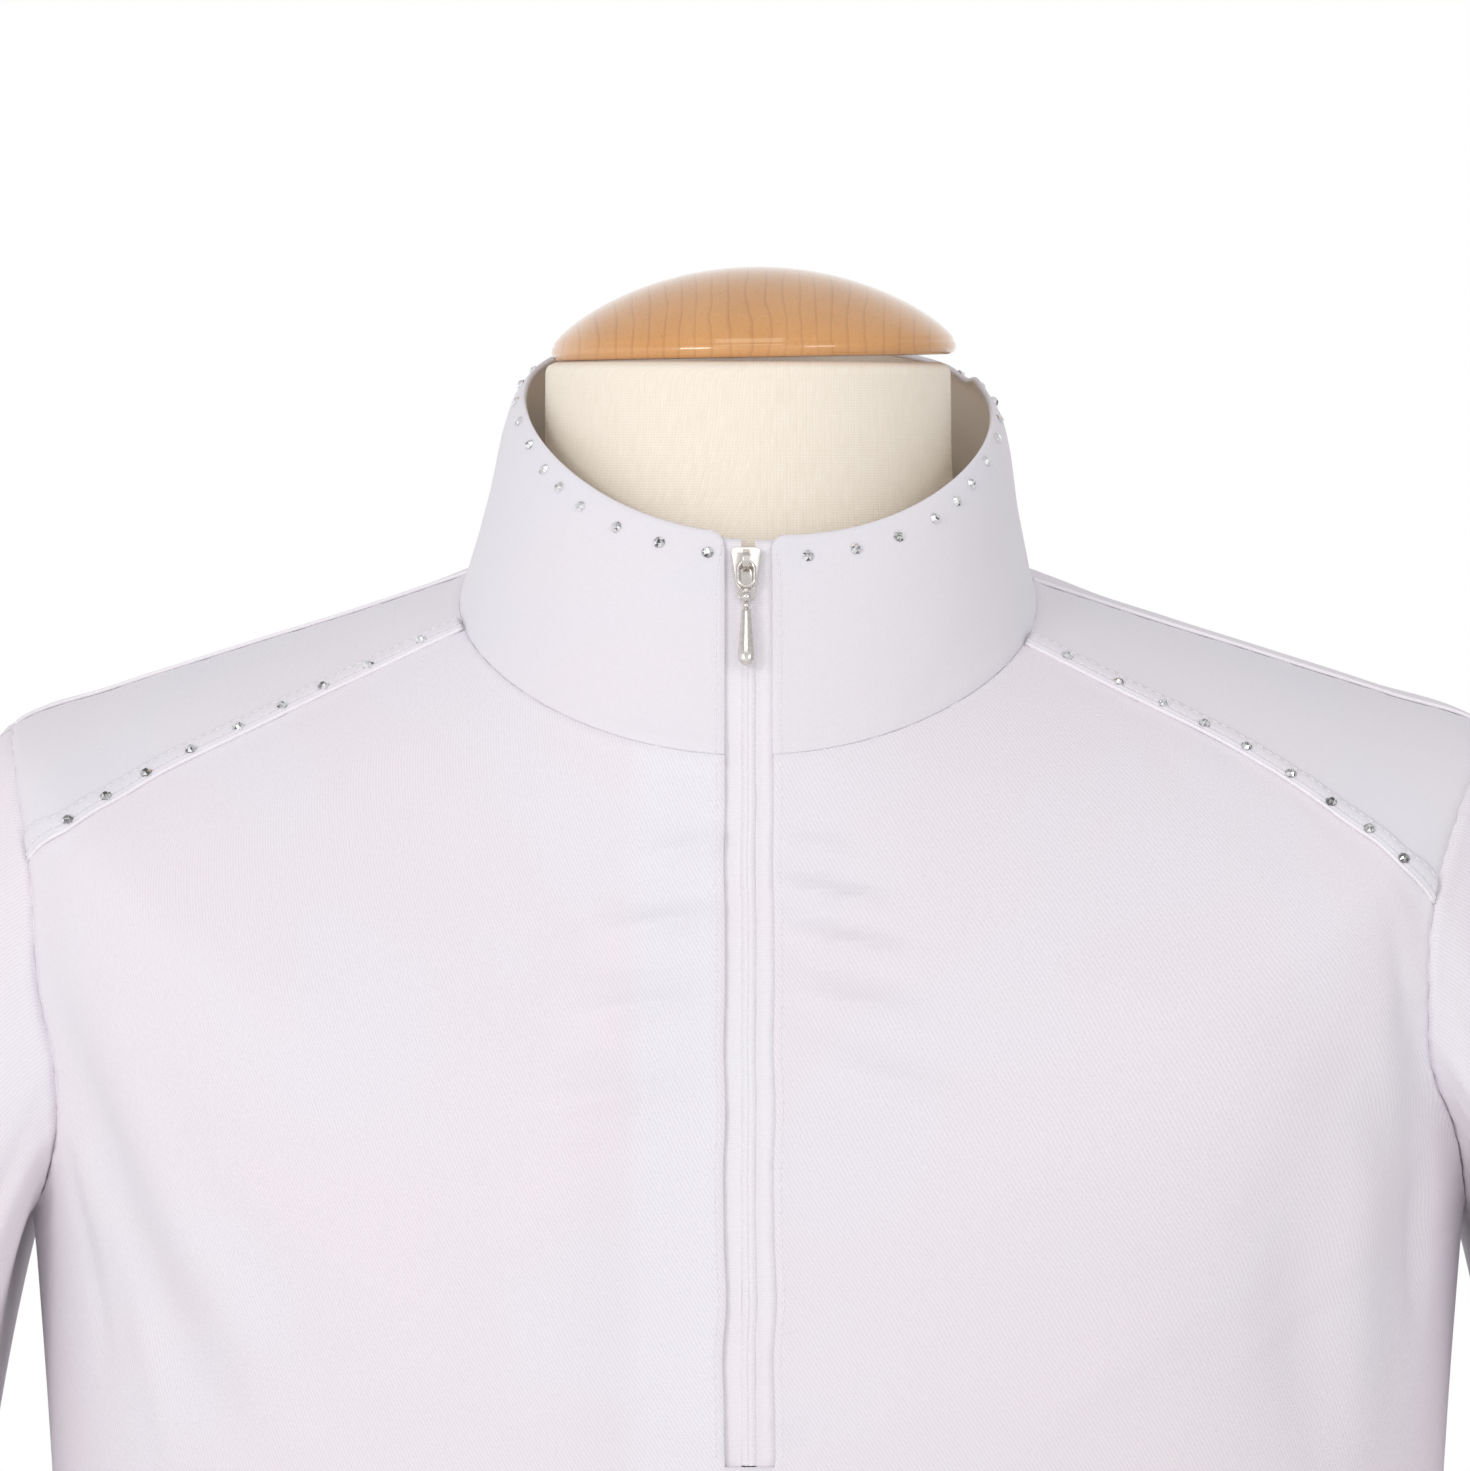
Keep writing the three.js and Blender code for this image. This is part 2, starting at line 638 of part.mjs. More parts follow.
// The zip lies behind the slit, over the whole height of the collar and past the slit's end. All
// lifts are measured out from the outer face of the shirt.
const ZIP = {
  tapeHalf: 13,
  tapeLift: -2.3,
  tapeThick: 0.8,
  coilHalf: 2.1,
  coilGap: 0.3,
  coilLift: -0.9,
  overlap: 9,
  endGap: 0.5,
  topInset: 1,
  rows: 24,
};
const zipBottom = ZIP_END_DOWN + ZIP.overlap;
const onZip = faced((x, down) => {
  const surface = down < 0 ? collarBand : drapedBody;
  const rings = down < 0 ? collarBand : shirtBody;
  return surface(rings.angleOf(x, down), down);
}, 0.5, 4);
for (const [name, side] of SIDES) {
  const inside = side * (ZIP.coilHalf + ZIP.coilGap);
  add(
    `zip_tape_${name}`,
    wall({
      us: range(inside, side * ZIP.tapeHalf, 2),
      vs: range(zipBottom, ZIP.topInset - COLLAR.height, ZIP.rows),
      at: onZip,
      outer: ZIP.tapeLift,
      inner: ZIP.tapeLift - ZIP.tapeThick,
      gap: 0,
    }),
    ZIP_WHITE,
  );
}

// The slider: a front plate with side lips, a back plate, a post that joins them between the
// halves of the zip, and an arched bail. Local x is right, y up along the collar and z out.
const SLIDER = {
  aside: -0.6,
  down: -41,
  halfWidth: 4,
  halfHeight: 7.5,
  corner: 1.6,
  taper: 1.7,
  plate: 1.4,
  front: 0.9,
  back: -5.3,
  lip: 0.6,
  lipLength: 3.2,
  lipUp: 4.6,
  lipDrop: 1.1,
  postRadius: 1.3,
  postUp: 5,
  bailUp: 3.4,
  bailHalfLength: 3.1,
  bailWidth: 1.8,
  bailRise: 3.8,
  bailWire: 1.0,
  sink: 0.2,
};
const coilTop = SLIDER.down - SLIDER.postUp + SLIDER.postRadius + 1.1;
add(
  "zip_coil",
  wall({
    us: range(-ZIP.coilHalf, ZIP.coilHalf, 2),
    vs: range(ZIP_END_DOWN - ZIP.endGap, coilTop, ZIP.rows),
    at: onZip,
    outer: ZIP.coilLift,
    inner: ZIP.tapeLift - ZIP.tapeThick,
    gap: 0,
  }),
  ZIP_WHITE,
);

// The metal pieces are made from closed geometries that are joined into one solid.
function joinable(geometry) {
  geometry.deleteAttribute("normal");
  geometry.deleteAttribute("uv");
  const merged = mergeVertices(geometry, 1e-4);
  const vertProperties = merged.attributes.position.array;
  const triVerts = Uint32Array.from(merged.index.array);
  return new wasm.Manifold(new wasm.Mesh({ numProp: 3, vertProperties, triVerts }));
}
const X_AXIS = new THREE.Vector3(1, 0, 0);
const sliderUp = onZip(0, SLIDER.down - 5).point.sub(onZip(0, SLIDER.down + 5).point).normalize();
const sliderFrame = new THREE.Matrix4()
  .makeBasis(X_AXIS, sliderUp, X_AXIS.clone().cross(sliderUp))
  .setPosition(onZip(SLIDER.aside, SLIDER.down).point);
function addMetal(name, geometries) {
  const joined = geometries.map(joinable).reduce((whole, piece) => whole.add(piece));
  const mesh = joined.getMesh();
  const geometry = new THREE.BufferGeometry()
    .setAttribute("position", new THREE.Float32BufferAttribute(mesh.vertProperties, 3))
    .setIndex([...mesh.triVerts])
    .applyMatrix4(sliderFrame);
  add(name, geometry, NICKEL);
}

// A rounded outline through arcs, each given by its middle, radius and first and last angle.
const ARC = ["x", "y", "radius", "from", "to"];
function outline(arcs, steps = 5) {
  const rows = arcs.map((row) => Object.fromEntries(ARC.map((name, i) => [name, row[i]])));
  const points = rows.flatMap(({ x, y, radius, from, to }) =>
    range(from, to, steps).map(
      (a) => new THREE.Vector2(x + radius * Math.cos(degrees(a)), y + radius * Math.sin(degrees(a))),
    ),
  );
  return new THREE.Shape(points);
}
const slab = (shape, thick, z) =>
  new THREE.ExtrudeGeometry(shape, { depth: thick, bevelEnabled: false }).translate(0, 0, z);

function shieldOutline() {
  const wide = SLIDER.halfWidth - SLIDER.corner;
  const high = SLIDER.halfHeight - SLIDER.corner;
  const narrow = wide - SLIDER.taper;
  return outline([
    [wide, high, SLIDER.corner, 0, 90],
    [-wide, high, SLIDER.corner, 90, 180],
    [-narrow, -high, SLIDER.corner, 180, 270],
    [narrow, -high, SLIDER.corner, 270, 360],
  ]);
}
function bailGeometry() {
  const halfRing = (half, rise) =>
    range(0, Math.PI, 8).map((a) => new THREE.Vector2(half * Math.cos(a), rise * Math.sin(a)));
  const outside = halfRing(SLIDER.bailHalfLength, SLIDER.bailRise);
  const innerFoot = SLIDER.bailHalfLength - SLIDER.bailWire;
  const inside = halfRing(innerFoot, SLIDER.bailRise - SLIDER.bailWire).reverse();
  const foot = (x) => new THREE.Vector2(x, -SLIDER.sink);
  const profile = new THREE.Shape([
    foot(SLIDER.bailHalfLength),
    ...outside,
    foot(-SLIDER.bailHalfLength),
    foot(-innerFoot),
    ...inside,
    foot(innerFoot),
  ]);
  const [yAxis, zAxis] = [new THREE.Vector3(0, 1, 0), new THREE.Vector3(0, 0, 1)];
  const upright = new THREE.Matrix4().makeBasis(yAxis, zAxis, X_AXIS);
  return slab(profile, SLIDER.bailWidth, -SLIDER.bailWidth / 2)
    .applyMatrix4(upright)
    .translate(0, SLIDER.bailUp, SLIDER.front);
}
const postLength = SLIDER.front - SLIDER.back - 2 * SLIDER.sink;
const post = new THREE.CylinderGeometry(SLIDER.postRadius, SLIDER.postRadius, postLength, 16)
  .rotateX(Math.PI / 2)
  .translate(0, SLIDER.postUp, (SLIDER.front + SLIDER.back) / 2);
const lips = SIDES.map(([, side]) =>
  new THREE.BoxGeometry(SLIDER.lip, SLIDER.lipLength, SLIDER.lipDrop + SLIDER.sink).translate(
    side * (SLIDER.halfWidth - 1.5 * SLIDER.lip),
    SLIDER.lipUp,
    SLIDER.front - SLIDER.plate - SLIDER.lipDrop / 2,
  ),
);
addMetal("zip_slider", [
  slab(shieldOutline(), SLIDER.plate, SLIDER.front - SLIDER.plate),
  slab(shieldOutline(), SLIDER.plate, SLIDER.back),
  post,
  bailGeometry(),
  ...lips,
]);

// The pull: a ring through the bail, three beads and a drop. It hangs from the ring's upper bar, and
// its own origin is the middle of that bar, a little below the middle of the bail.
const PULL = {
  wire: 1.0,
  ringHalf: 2.7,
  ringLength: 8.1,
  lift: 1.6,
  hang: 0.6,
  beads: [
    [8.3, 0.9],
    [10.3, 1.35],
    [12.5, 1.0],
  ],
  dropTop: 14.2,
  dropHalf: 2.15,
  dropNeck: 0.85,
  dropLength: 14.5,
  dropThick: 1.5,
};
function longOutline(top, bottom, low) {
  return outline(
    [
      [0, 0, top, 0, 180],
      [0, low, bottom, 180, 360],
    ],
    9,
  );
}
const ringLow = 2 * PULL.ringHalf - PULL.ringLength;
const ringShape = longOutline(PULL.ringHalf, PULL.ringHalf, ringLow);
const ringInside = PULL.ringHalf - PULL.wire;
ringShape.holes.push(longOutline(ringInside, ringInside, ringLow));
const ringDown = PULL.wire / 2 - PULL.ringHalf;
const dropShape = longOutline(PULL.dropNeck, PULL.dropHalf, PULL.dropHalf - PULL.dropLength);
const pieces = [
  slab(ringShape, PULL.wire, -PULL.wire / 2).translate(0, ringDown, 0),
  ...PULL.beads.map(([down, radius]) => new THREE.SphereGeometry(radius, 14, 9).translate(0, -down, 0)),
  slab(dropShape, PULL.dropThick, -PULL.dropThick / 2).translate(0, -PULL.dropTop, 0),
];
const hinge = [0, SLIDER.bailUp - PULL.hang, SLIDER.front + PULL.lift];
addMetal("zip_pull", pieces.map((piece) => piece.translate(...hinge)));

// ---------------------------------------------------------------- form

// A closed loft through the rings of a stack of girths, with flat ends.
function loft(surface, downs, columns) {
  const angles = range(0, 360, columns).slice(0, -1);
  const points = downs.flatMap((down) => angles.map((angle) => surface(angle, down)));
  const triangles = [];
  const id = (i, j) => j * columns + (i % columns);
  for (let j = 0; j < downs.length - 1; j++) {
    for (let i = 0; i < columns; i++) {
      triangles.push([id(i, j), id(i, j + 1), id(i + 1, j + 1)]);
      triangles.push([id(i, j), id(i + 1, j + 1), id(i + 1, j)]);
    }
  }
  for (const j of [0, downs.length - 1]) {
    const edge = points.slice(j * columns, (j + 1) * columns);
    const middle = edge.reduce((sum, p) => sum.add(p), new THREE.Vector3()).divideScalar(columns);
    const hub = points.push(middle) - 1;
    for (let i = 0; i < columns; i++) {
      triangles.push(j === 0 ? [hub, id(i, j), id(i + 1, j)] : [hub, id(i + 1, j), id(i, j)]);
    }
  }
  return solid(points, triangles);
}
const FORM_DOWNS = [
  ...[-75, -74, -71, -60, -45, -33, -22, -10, 0, 14, 28, 47, 66, 85, 104, 120, 135, 150, 170, 192, 215],
  ...[234, 250, 275, 300, 325, 350, 390, 435, 480, 530, 575, 620, 660, 695, 720, 745],
];
add("dress_form", loft(formBody, FORM_DOWNS, 36), CREAM_JERSEY);

// A turned piece from its outline of radius and height, which starts and ends on the axis.
function turned(outline, segments) {
  const profile = outline.map(([r, h]) => new THREE.Vector2(r, h));
  return new THREE.LatheGeometry(profile, segments).rotateX(Math.PI / 2);
}
const CAP = { radius: 56, rimHeight: 4.2, dome: 21, fullness: 0.8, foot: 51, tilt: 1 };
const domeAt = (share) => CAP.rimHeight + CAP.dome * (1 - share ** 2) ** CAP.fullness;
const domeShares = [1, 0.985, 0.95, 0.88, 0.78, 0.64, 0.48, 0.3, 0.14];
const capOutline = [
  [0, 0],
  [CAP.foot, 0],
  [CAP.radius - 1.7, 1],
  [CAP.radius - 0.4, 2.6],
  ...domeShares.map((share) => [CAP.radius * share, domeAt(share)]),
  [0, domeAt(0)],
];
const formTop = formBody(0, FORM_DOWNS[0]);
const formBottom = formBody(0, FORM_DOWNS[FORM_DOWNS.length - 1]);
const CAP_SPOT = [1.6, -4]; // it sits a little to the right, and its right side is a little higher
const capLift = SEAM_GAP + CAP.foot * Math.sin(degrees(CAP.tilt));
const cap = turned(capOutline, 40).rotateY(degrees(-CAP.tilt));
add("neck_cap", cap.translate(...CAP_SPOT, formTop.z + capLift), BEECH);

const FOOT = { radius: 150, thick: 22, round: 6 };
const footOutline = [
  [0, 0],
  [FOOT.radius, 0],
  ...range(0, 90, 4).map((a) => [
    FOOT.radius - FOOT.round + FOOT.round * Math.cos(degrees(a)),
    FOOT.thick - FOOT.round + FOOT.round * Math.sin(degrees(a)),
  ]),
  [0, FOOT.thick],
];
add("stand_foot", turned(footOutline, 48), BEECH);

const POLE_RADIUS = 14;
const poleBottom = FOOT.thick + SEAM_GAP;
const poleLength = formBottom.z - SEAM_GAP - poleBottom;
const pole = new THREE.CylinderGeometry(POLE_RADIUS, POLE_RADIUS, poleLength, 28).rotateX(Math.PI / 2);
add("stand_pole", pole.translate(0, 0, poleBottom + poleLength / 2), BEECH);

export default part;
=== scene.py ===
# An equestrian show shirt on a limbless dress form.
# The shirt is white stretch twill with sateen yokes and collar, a coil zip and rows of small stones.
# Lengths are in millimetres until a mesh is made, and +X is to the right seen from the front.
import math
import random

import bmesh
import bpy
import numpy as np
from mathutils import Matrix, Vector


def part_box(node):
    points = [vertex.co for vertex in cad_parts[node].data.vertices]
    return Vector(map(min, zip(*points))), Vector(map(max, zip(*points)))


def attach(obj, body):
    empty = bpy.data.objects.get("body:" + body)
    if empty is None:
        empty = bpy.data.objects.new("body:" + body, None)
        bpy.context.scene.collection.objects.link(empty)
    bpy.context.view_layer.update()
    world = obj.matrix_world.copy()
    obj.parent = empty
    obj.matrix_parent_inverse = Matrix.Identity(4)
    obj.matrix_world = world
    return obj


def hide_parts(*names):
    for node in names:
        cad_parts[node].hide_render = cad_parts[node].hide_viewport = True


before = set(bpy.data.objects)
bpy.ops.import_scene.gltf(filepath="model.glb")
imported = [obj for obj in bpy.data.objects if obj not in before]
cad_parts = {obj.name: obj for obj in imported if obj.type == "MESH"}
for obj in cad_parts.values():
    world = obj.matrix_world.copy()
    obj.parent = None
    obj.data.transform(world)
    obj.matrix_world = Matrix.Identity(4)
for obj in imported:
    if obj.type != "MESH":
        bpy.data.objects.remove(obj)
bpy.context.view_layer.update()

# ---------------------------------------------------------------- camera
# A long lens 2.2 m in front of the collar and a little above it. It frames the collar, the
# shoulders and the upper chest.
MM = 0.001
NECK_POINT_Z = 825
VIEW_DISTANCE = 2200
VIEW_ELEVATION = math.radians(2.5)
VIEW_HEIGHT = 408.6  # how much of the shirt the frame takes in, at that distance
AIM = Vector((-3.6, 0, NECK_POINT_Z - 37.6)) * MM
lens = bpy.data.cameras.new("long_lens")
lens.lens = lens.sensor_width * VIEW_DISTANCE / VIEW_HEIGHT
lens.clip_end = 100
camera = bpy.data.objects.new("camera", lens)
camera.location = AIM + Vector((0, -math.cos(VIEW_ELEVATION), math.sin(VIEW_ELEVATION))) * (
    VIEW_DISTANCE * MM)
camera.rotation_euler = (math.pi / 2 - VIEW_ELEVATION, 0, 0)
scene = bpy.context.scene
scene.collection.objects.link(camera)
scene.camera = camera

# ---------------------------------------------------------------- studio
# A white studio: pale floor, bright walls, a dimmer ceiling, and three softboxes: two in front, of
# which the left one is the stronger, and a weak one above. Its whites are shown as they are.
scene.view_settings.view_transform = "Standard"


def linear(code, alpha=1.0):
    """The linear colour of an sRGB hex code."""
    parts = [int(code[i : i + 2], 16) / 255 for i in (1, 3, 5)]
    return (*[x / 12.92 if x <= 0.04045 else ((x + 0.055) / 1.055) ** 2.4 for x in parts], alpha)


def add_node(tree, kind, settings=None, links=None):
    """Adds a shader node, sets its properties and sockets, and links its inputs to outputs."""
    added = tree.nodes.new("ShaderNode" + kind)
    for key, value in (settings or {}).items():
        if isinstance(key, str) and hasattr(added, key):
            setattr(added, key, value)
        else:
            added.inputs[key].default_value = value
    for key, source in (links or {}).items():
        tree.links.new(source, added.inputs[key])
    return added


def finish_of(name, settings):
    """A new material with its node tree and its shader."""
    made = bpy.data.materials.new(name)
    made.use_nodes = True
    tree = made.node_tree
    shader = tree.nodes["Principled BSDF"]
    for key, value in settings.items():
        shader.inputs[key].default_value = value
    return made, tree, shader


WALL_LIGHT = 1.0
CEILING_LIGHT = 0.62
RIGHT_WALL_LIGHT = 0.6
world = bpy.data.worlds.new("studio")
world.use_nodes = True
scene.world = world
tree = world.node_tree
place = add_node(tree, "TexCoord")
up = add_node(tree, "SeparateXYZ", links={0: place.outputs["Generated"]})
height = add_node(tree, "MapRange",
    {"interpolation_type": "SMOOTHSTEP", "From Min": 0.12, "From Max": 0.75}, {"Value": up.outputs["Z"]})
light = add_node(tree, "Mix",
    {"data_type": "RGBA", 6: (WALL_LIGHT,) * 3 + (1,), 7: (CEILING_LIGHT,) * 3 + (1,)},
    {0: height.outputs[0]})
aside = add_node(tree, "MapRange",
    {"interpolation_type": "SMOOTHSTEP", "From Min": 0.45, "From Max": 0.95}, {"Value": up.outputs["X"]})
walls = add_node(tree, "Mix", {"data_type": "RGBA", 7: (RIGHT_WALL_LIGHT,) * 3 + (1,)},
    {0: aside.outputs[0], 6: light.outputs[2]})
tree.links.new(walls.outputs[2], tree.nodes["Background"].inputs["Color"])

floor_finish, tree, shader = finish_of("floor_matt_white_paint",
    {"Base Color": linear("#F2F1F0"), "Roughness": 0.9})
FLOOR_HALF = 3.0
bm = bmesh.new()
bmesh.ops.create_grid(bm, x_segments=1, y_segments=1, size=FLOOR_HALF)
floor_mesh = bpy.data.meshes.new("floor")
bm.to_mesh(floor_mesh)
bm.free()
floor_mesh.materials.append(floor_finish)
floor = bpy.data.objects.new("floor", floor_mesh)
scene.collection.objects.link(floor)

SOFTBOXES = [
    # name, azimuth from the camera, elevation, distance, width, height, watts
    ("softbox_left", -34, 17, 2.4, 0.7, 0.6, 11),
    ("softbox_right", 38, 17, 2.4, 0.7, 0.6, 5),
    ("softbox_above", -4, 48, 2.2, 1.2, 0.6, 3),
]
for name, azimuth, elevation, distance, wide, high, watts in SOFTBOXES:
    lamp = bpy.data.lights.new(name, "AREA")
    lamp.shape = "RECTANGLE"
    lamp.size, lamp.size_y, lamp.energy = wide, high, watts
    box = bpy.data.objects.new(name, lamp)
    a, e = math.radians(azimuth), math.radians(elevation)
    away = Vector((math.sin(a) * math.cos(e), -math.cos(a) * math.cos(e), math.sin(e)))
    box.location = AIM + away * distance
    box.rotation_euler = away.to_track_quat("Z", "Y").to_euler()
    scene.collection.objects.link(box)

# ---------------------------------------------------------------- stand foot and pole
# The form stands on a turned beech foot and a beech pole. Both are sanded and varnished, and
# their edges are rounded over.
FOOT_ROUND = 6
FOOT_GROOVE = [(22, 0), (23, 0.8), (24, 0)]  # in from the edge, and how deep
POLE_ROUND = 1


def mix(a, b, t):
    return a + (b - a) * t


def add_piece(bm, name, finish, slot, *nodes, body="shirt_and_form", smooth=True):
    """Makes a finished object of a bmesh in millimetres, with its finish, body and CAD nodes."""
    bmesh.ops.scale(bm, vec=(MM,) * 3, verts=bm.verts)
    mesh = bpy.data.meshes.new(name)
    bm.to_mesh(mesh)
    bm.free()
    for polygon in mesh.polygons:
        polygon.use_smooth = smooth
    for material in finish if isinstance(finish, list) else [finish]:
        mesh.materials.append(material)
    made = bpy.data.objects.new(name, mesh)
    scene.collection.objects.link(made)
    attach(made, body)
    if nodes:
        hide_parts(*nodes)
    return made


def arc(x, y, radius, start, end, steps=6):
    """Points on an arc, with its angles in degrees."""
    angles = [math.radians(mix(start, end, i / steps)) for i in range(steps + 1)]
    return [(x + radius * math.cos(a), y + radius * math.sin(a)) for a in angles]


def spun(outline, steps=96):
    """A turned solid in a bmesh, from its outline of radius and height."""
    bm = bmesh.new()
    verts = [bm.verts.new((radius, 0, height)) for radius, height in outline]
    edges = [bm.edges.new(pair) for pair in zip(verts, verts[1:])]
    bmesh.ops.spin(bm, geom=verts + edges, axis=(0, 0, 1), angle=2 * math.pi, steps=steps, use_merge=True)
    bmesh.ops.remove_doubles(bm, verts=bm.verts, dist=1e-4)
    bmesh.ops.recalc_face_normals(bm, faces=bm.faces)
    return bm


# A wave texture of this scale repeats once for every unit of its vector.
WAVE_SCALE = 0.314


# Varnished beech: pale pinkish orange, turned and lacquered, so it is glossy, with fine dark
# flecks and soft bands along the grain.
def beech_finish(name, grain_axis, scale=1.0):
    """Beech whose grain runs along an axis of the object (0, 1 or 2)."""
    made, tree, shader = finish_of(name,
        {"Roughness": 0.34, "IOR": 1.5, "Coat Weight": 1.0, "Coat Roughness": 0.05, "Coat IOR": 1.6})
    place = add_node(tree, "TexCoord")

    def stretched(across, along):
        size = [1 / (across * MM)] * 3
        size[grain_axis] = 1 / (along * MM)
        return add_node(tree, "Mapping", {"Scale": size}, {"Vector": place.outputs["Object"]})

    board = add_node(tree, "TexNoise", {"Scale": 1.0, "Detail": 2.0, "Roughness": 0.6},
        {"Vector": stretched(16 * scale, 150 * scale).outputs[0]})
    rings = add_node(tree, "TexWave",
        {"wave_type": "BANDS", "bands_direction": "X", "wave_profile": "SAW", "Scale": WAVE_SCALE,
            "Distortion": 5.0, "Detail": 2.0, "Detail Scale": 0.7},
        {"Vector": stretched(4.6 * scale, 50 * scale).outputs[0]})
    line = add_node(tree, "MapRange", {"From Min": 0.8, "From Max": 1.0, "To Max": 0.9},
        {"Value": rings.outputs["Fac"]})
    uneven = add_node(tree, "Math", {"operation": "MULTIPLY"},
        {0: line.outputs[0], 1: board.outputs["Fac"]})
    fleck = add_node(tree, "TexNoise", {"Scale": 1.0, "Detail": 3.0, "Roughness": 0.7},
        {"Vector": stretched(0.7 * scale, 9 * scale).outputs[0]})
    flecks = add_node(tree, "MapRange", {"From Min": 0.55, "From Max": 0.72, "To Max": 0.5},
        {"Value": fleck.outputs["Fac"]})
    tone = add_node(tree, "Mix", {"data_type": "RGBA", 6: linear("#DDA264"), 7: linear("#C98A44")},
        {0: board.outputs["Fac"]})
    ringed = add_node(tree, "Mix", {"data_type": "RGBA", 7: linear("#A8672C")},
        {0: uneven.outputs[0], 6: tone.outputs[2]})
    flecked = add_node(tree, "Mix", {"data_type": "RGBA", 7: linear("#B47535")},
        {0: flecks.outputs[0], 6: ringed.outputs[2]})
    tree.links.new(flecked.outputs[2], shader.inputs["Base Color"])
    pores = add_node(tree, "Bump", {"Strength": 0.15, "Distance": 0.05 * MM},
        {"Height": fleck.outputs["Fac"]})
    tree.links.new(pores.outputs[0], shader.inputs["Normal"])
    return made


foot_radius, _, foot_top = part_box("stand_foot")[1] / MM
beech_lying = beech_finish("beech_varnished_lying", 0, 2.0)
add_piece(
    spun(
        [(0, 0), *arc(foot_radius - POLE_ROUND, POLE_ROUND, POLE_ROUND, -90, 0),
            *arc(foot_radius - FOOT_ROUND, foot_top - FOOT_ROUND, FOOT_ROUND, 0, 90, 10),
            *[(foot_radius - inset, foot_top - depth) for inset, depth in FOOT_GROOVE], (0, foot_top)],
        160), "beech_foot", beech_lying, "beech", "stand_foot")
pole_low, pole_high = (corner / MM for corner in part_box("stand_pole"))
pole_radius = pole_high.x
beech_upright = beech_finish("beech_varnished_upright", 2, 1.4)
add_piece(
    spun(
        [(0, pole_low.z), *arc(pole_radius - POLE_ROUND, pole_low.z + POLE_ROUND, POLE_ROUND, -90, 0),
            *arc(pole_radius - POLE_ROUND, pole_high.z - POLE_ROUND, POLE_ROUND, 0, 90),
            (0, pole_high.z)], 64), "beech_pole", beech_upright, "beech", "stand_pole")

# ---------------------------------------------------------------- dress form
# The moulded body of the form is covered in a cream jersey, which is drawn smooth over it and
# tucked in round the top of the neck. It has no limbs.
GIRTH = ["halfWidth", "halfDepth", "centreY", "frontZ", "sideZ", "backZ", "blunt"]


def smooth_curve(at, value):
    """A curve through points that never overshoots them."""
    at, value = np.asarray(at, float), np.asarray(value, float)
    step, slope = np.diff(at), np.diff(value) / np.diff(at)
    before, after = 2 * step[1:] + step[:-1], step[1:] + 2 * step[:-1]
    same_way = slope[:-1] * slope[1:] > 0
    with np.errstate(divide="ignore", invalid="ignore"):
        middle = (before + after) / (before / slope[:-1] + after / slope[1:])
    bend = np.concatenate([slope[:1], np.where(same_way, middle, 0), slope[-1:]])

    def curve(x):
        k = np.clip(np.searchsorted(at, x, side="right") - 1, 0, len(step) - 1)
        s = (x - at[k]) / step[k]
        ends = mix(value[k], value[k + 1], s * s * (3 - 2 * s))
        return ends + step[k] * s * (1 - s) * ((1 - s) * bend[k] - s * bend[k + 1])

    return curve


class Girths:
    """A stack of oval girths that may dip at the front and rise at the back. angle is 0 at the
    centre front, 90 at the right side and 180 at the centre back."""

    def __init__(self, table):
        columns = np.array(table, float).T
        for name, column in zip(GIRTH, columns[1:]):
            setattr(self, name, smooth_curve(columns[0], column))

    def __call__(self, angle, down):
        s, c = np.sin(np.radians(angle)), np.cos(np.radians(angle))
        blunt = self.blunt(down)
        front, side, back = self.frontZ(down), self.sideZ(down), self.backZ(down)
        x = self.halfWidth(down) * np.sign(s) * np.abs(s) ** blunt
        y = self.centreY(down) - self.halfDepth(down) * np.sign(c) * np.abs(c) ** blunt
        z = side + (front - back) / 2 * c + ((front + back) / 2 - side) * c * c
        return np.stack([x, y, NECK_POINT_Z + z], axis=-1)

    def angle_of(self, x, down):
        """The angle on the front of a girth at a distance x to the right."""
        share = (np.abs(x) / self.halfWidth(down)) ** (1 / self.blunt(down))
        return np.sign(x) * np.degrees(np.arcsin(share))


form_body = Girths(
    [
        # down, halfWidth, halfDepth, centreY, frontZ, sideZ, backZ, blunt
        [-75, 56, 57, -4, 66, 66, 66, 1.0],
        [-45, 56.4, 58, -5, 30, 38, 44, 1.0],
        [-22, 59.6, 62, -7, -6, 18, 34, 1.0],
        [0, 74, 76, -11, -42, -5, 13, 1.0],
        [28, 102, 88, -9, -66, -13.5, -3, 0.96],
        [66, 137, 100, -7, -91, -22.6, -28, 0.92],
        [104, 172, 111, -6, -117, -33, -57, 0.9],
        [135, 195, 119, -6, -142, -43, -88, 0.88],
        [170, 199, 122, -7, -166, -78, -119, 0.87],
        [215, 194, 122, -7, -195, -128, -160, 0.88],
        [250, 184, 121, -8, -217, -168, -189, 0.9],
        [300, 170, 119, -10, -248, -232, -239, 0.92],
        [350, 162, 117, -12, -290, -288, -288, 0.93],
        [480, 128, 94, -8, -420, -420, -420, 0.95],
        [620, 166, 110, -3, -565, -565, -565, 0.93],
        [720, 158, 106, 0, -672, -672, -672, 0.93],
        [745, 146, 97, 0, -692, -692, -692, 0.93],
    ]
)
CLOTH_MAP = "Cloth"


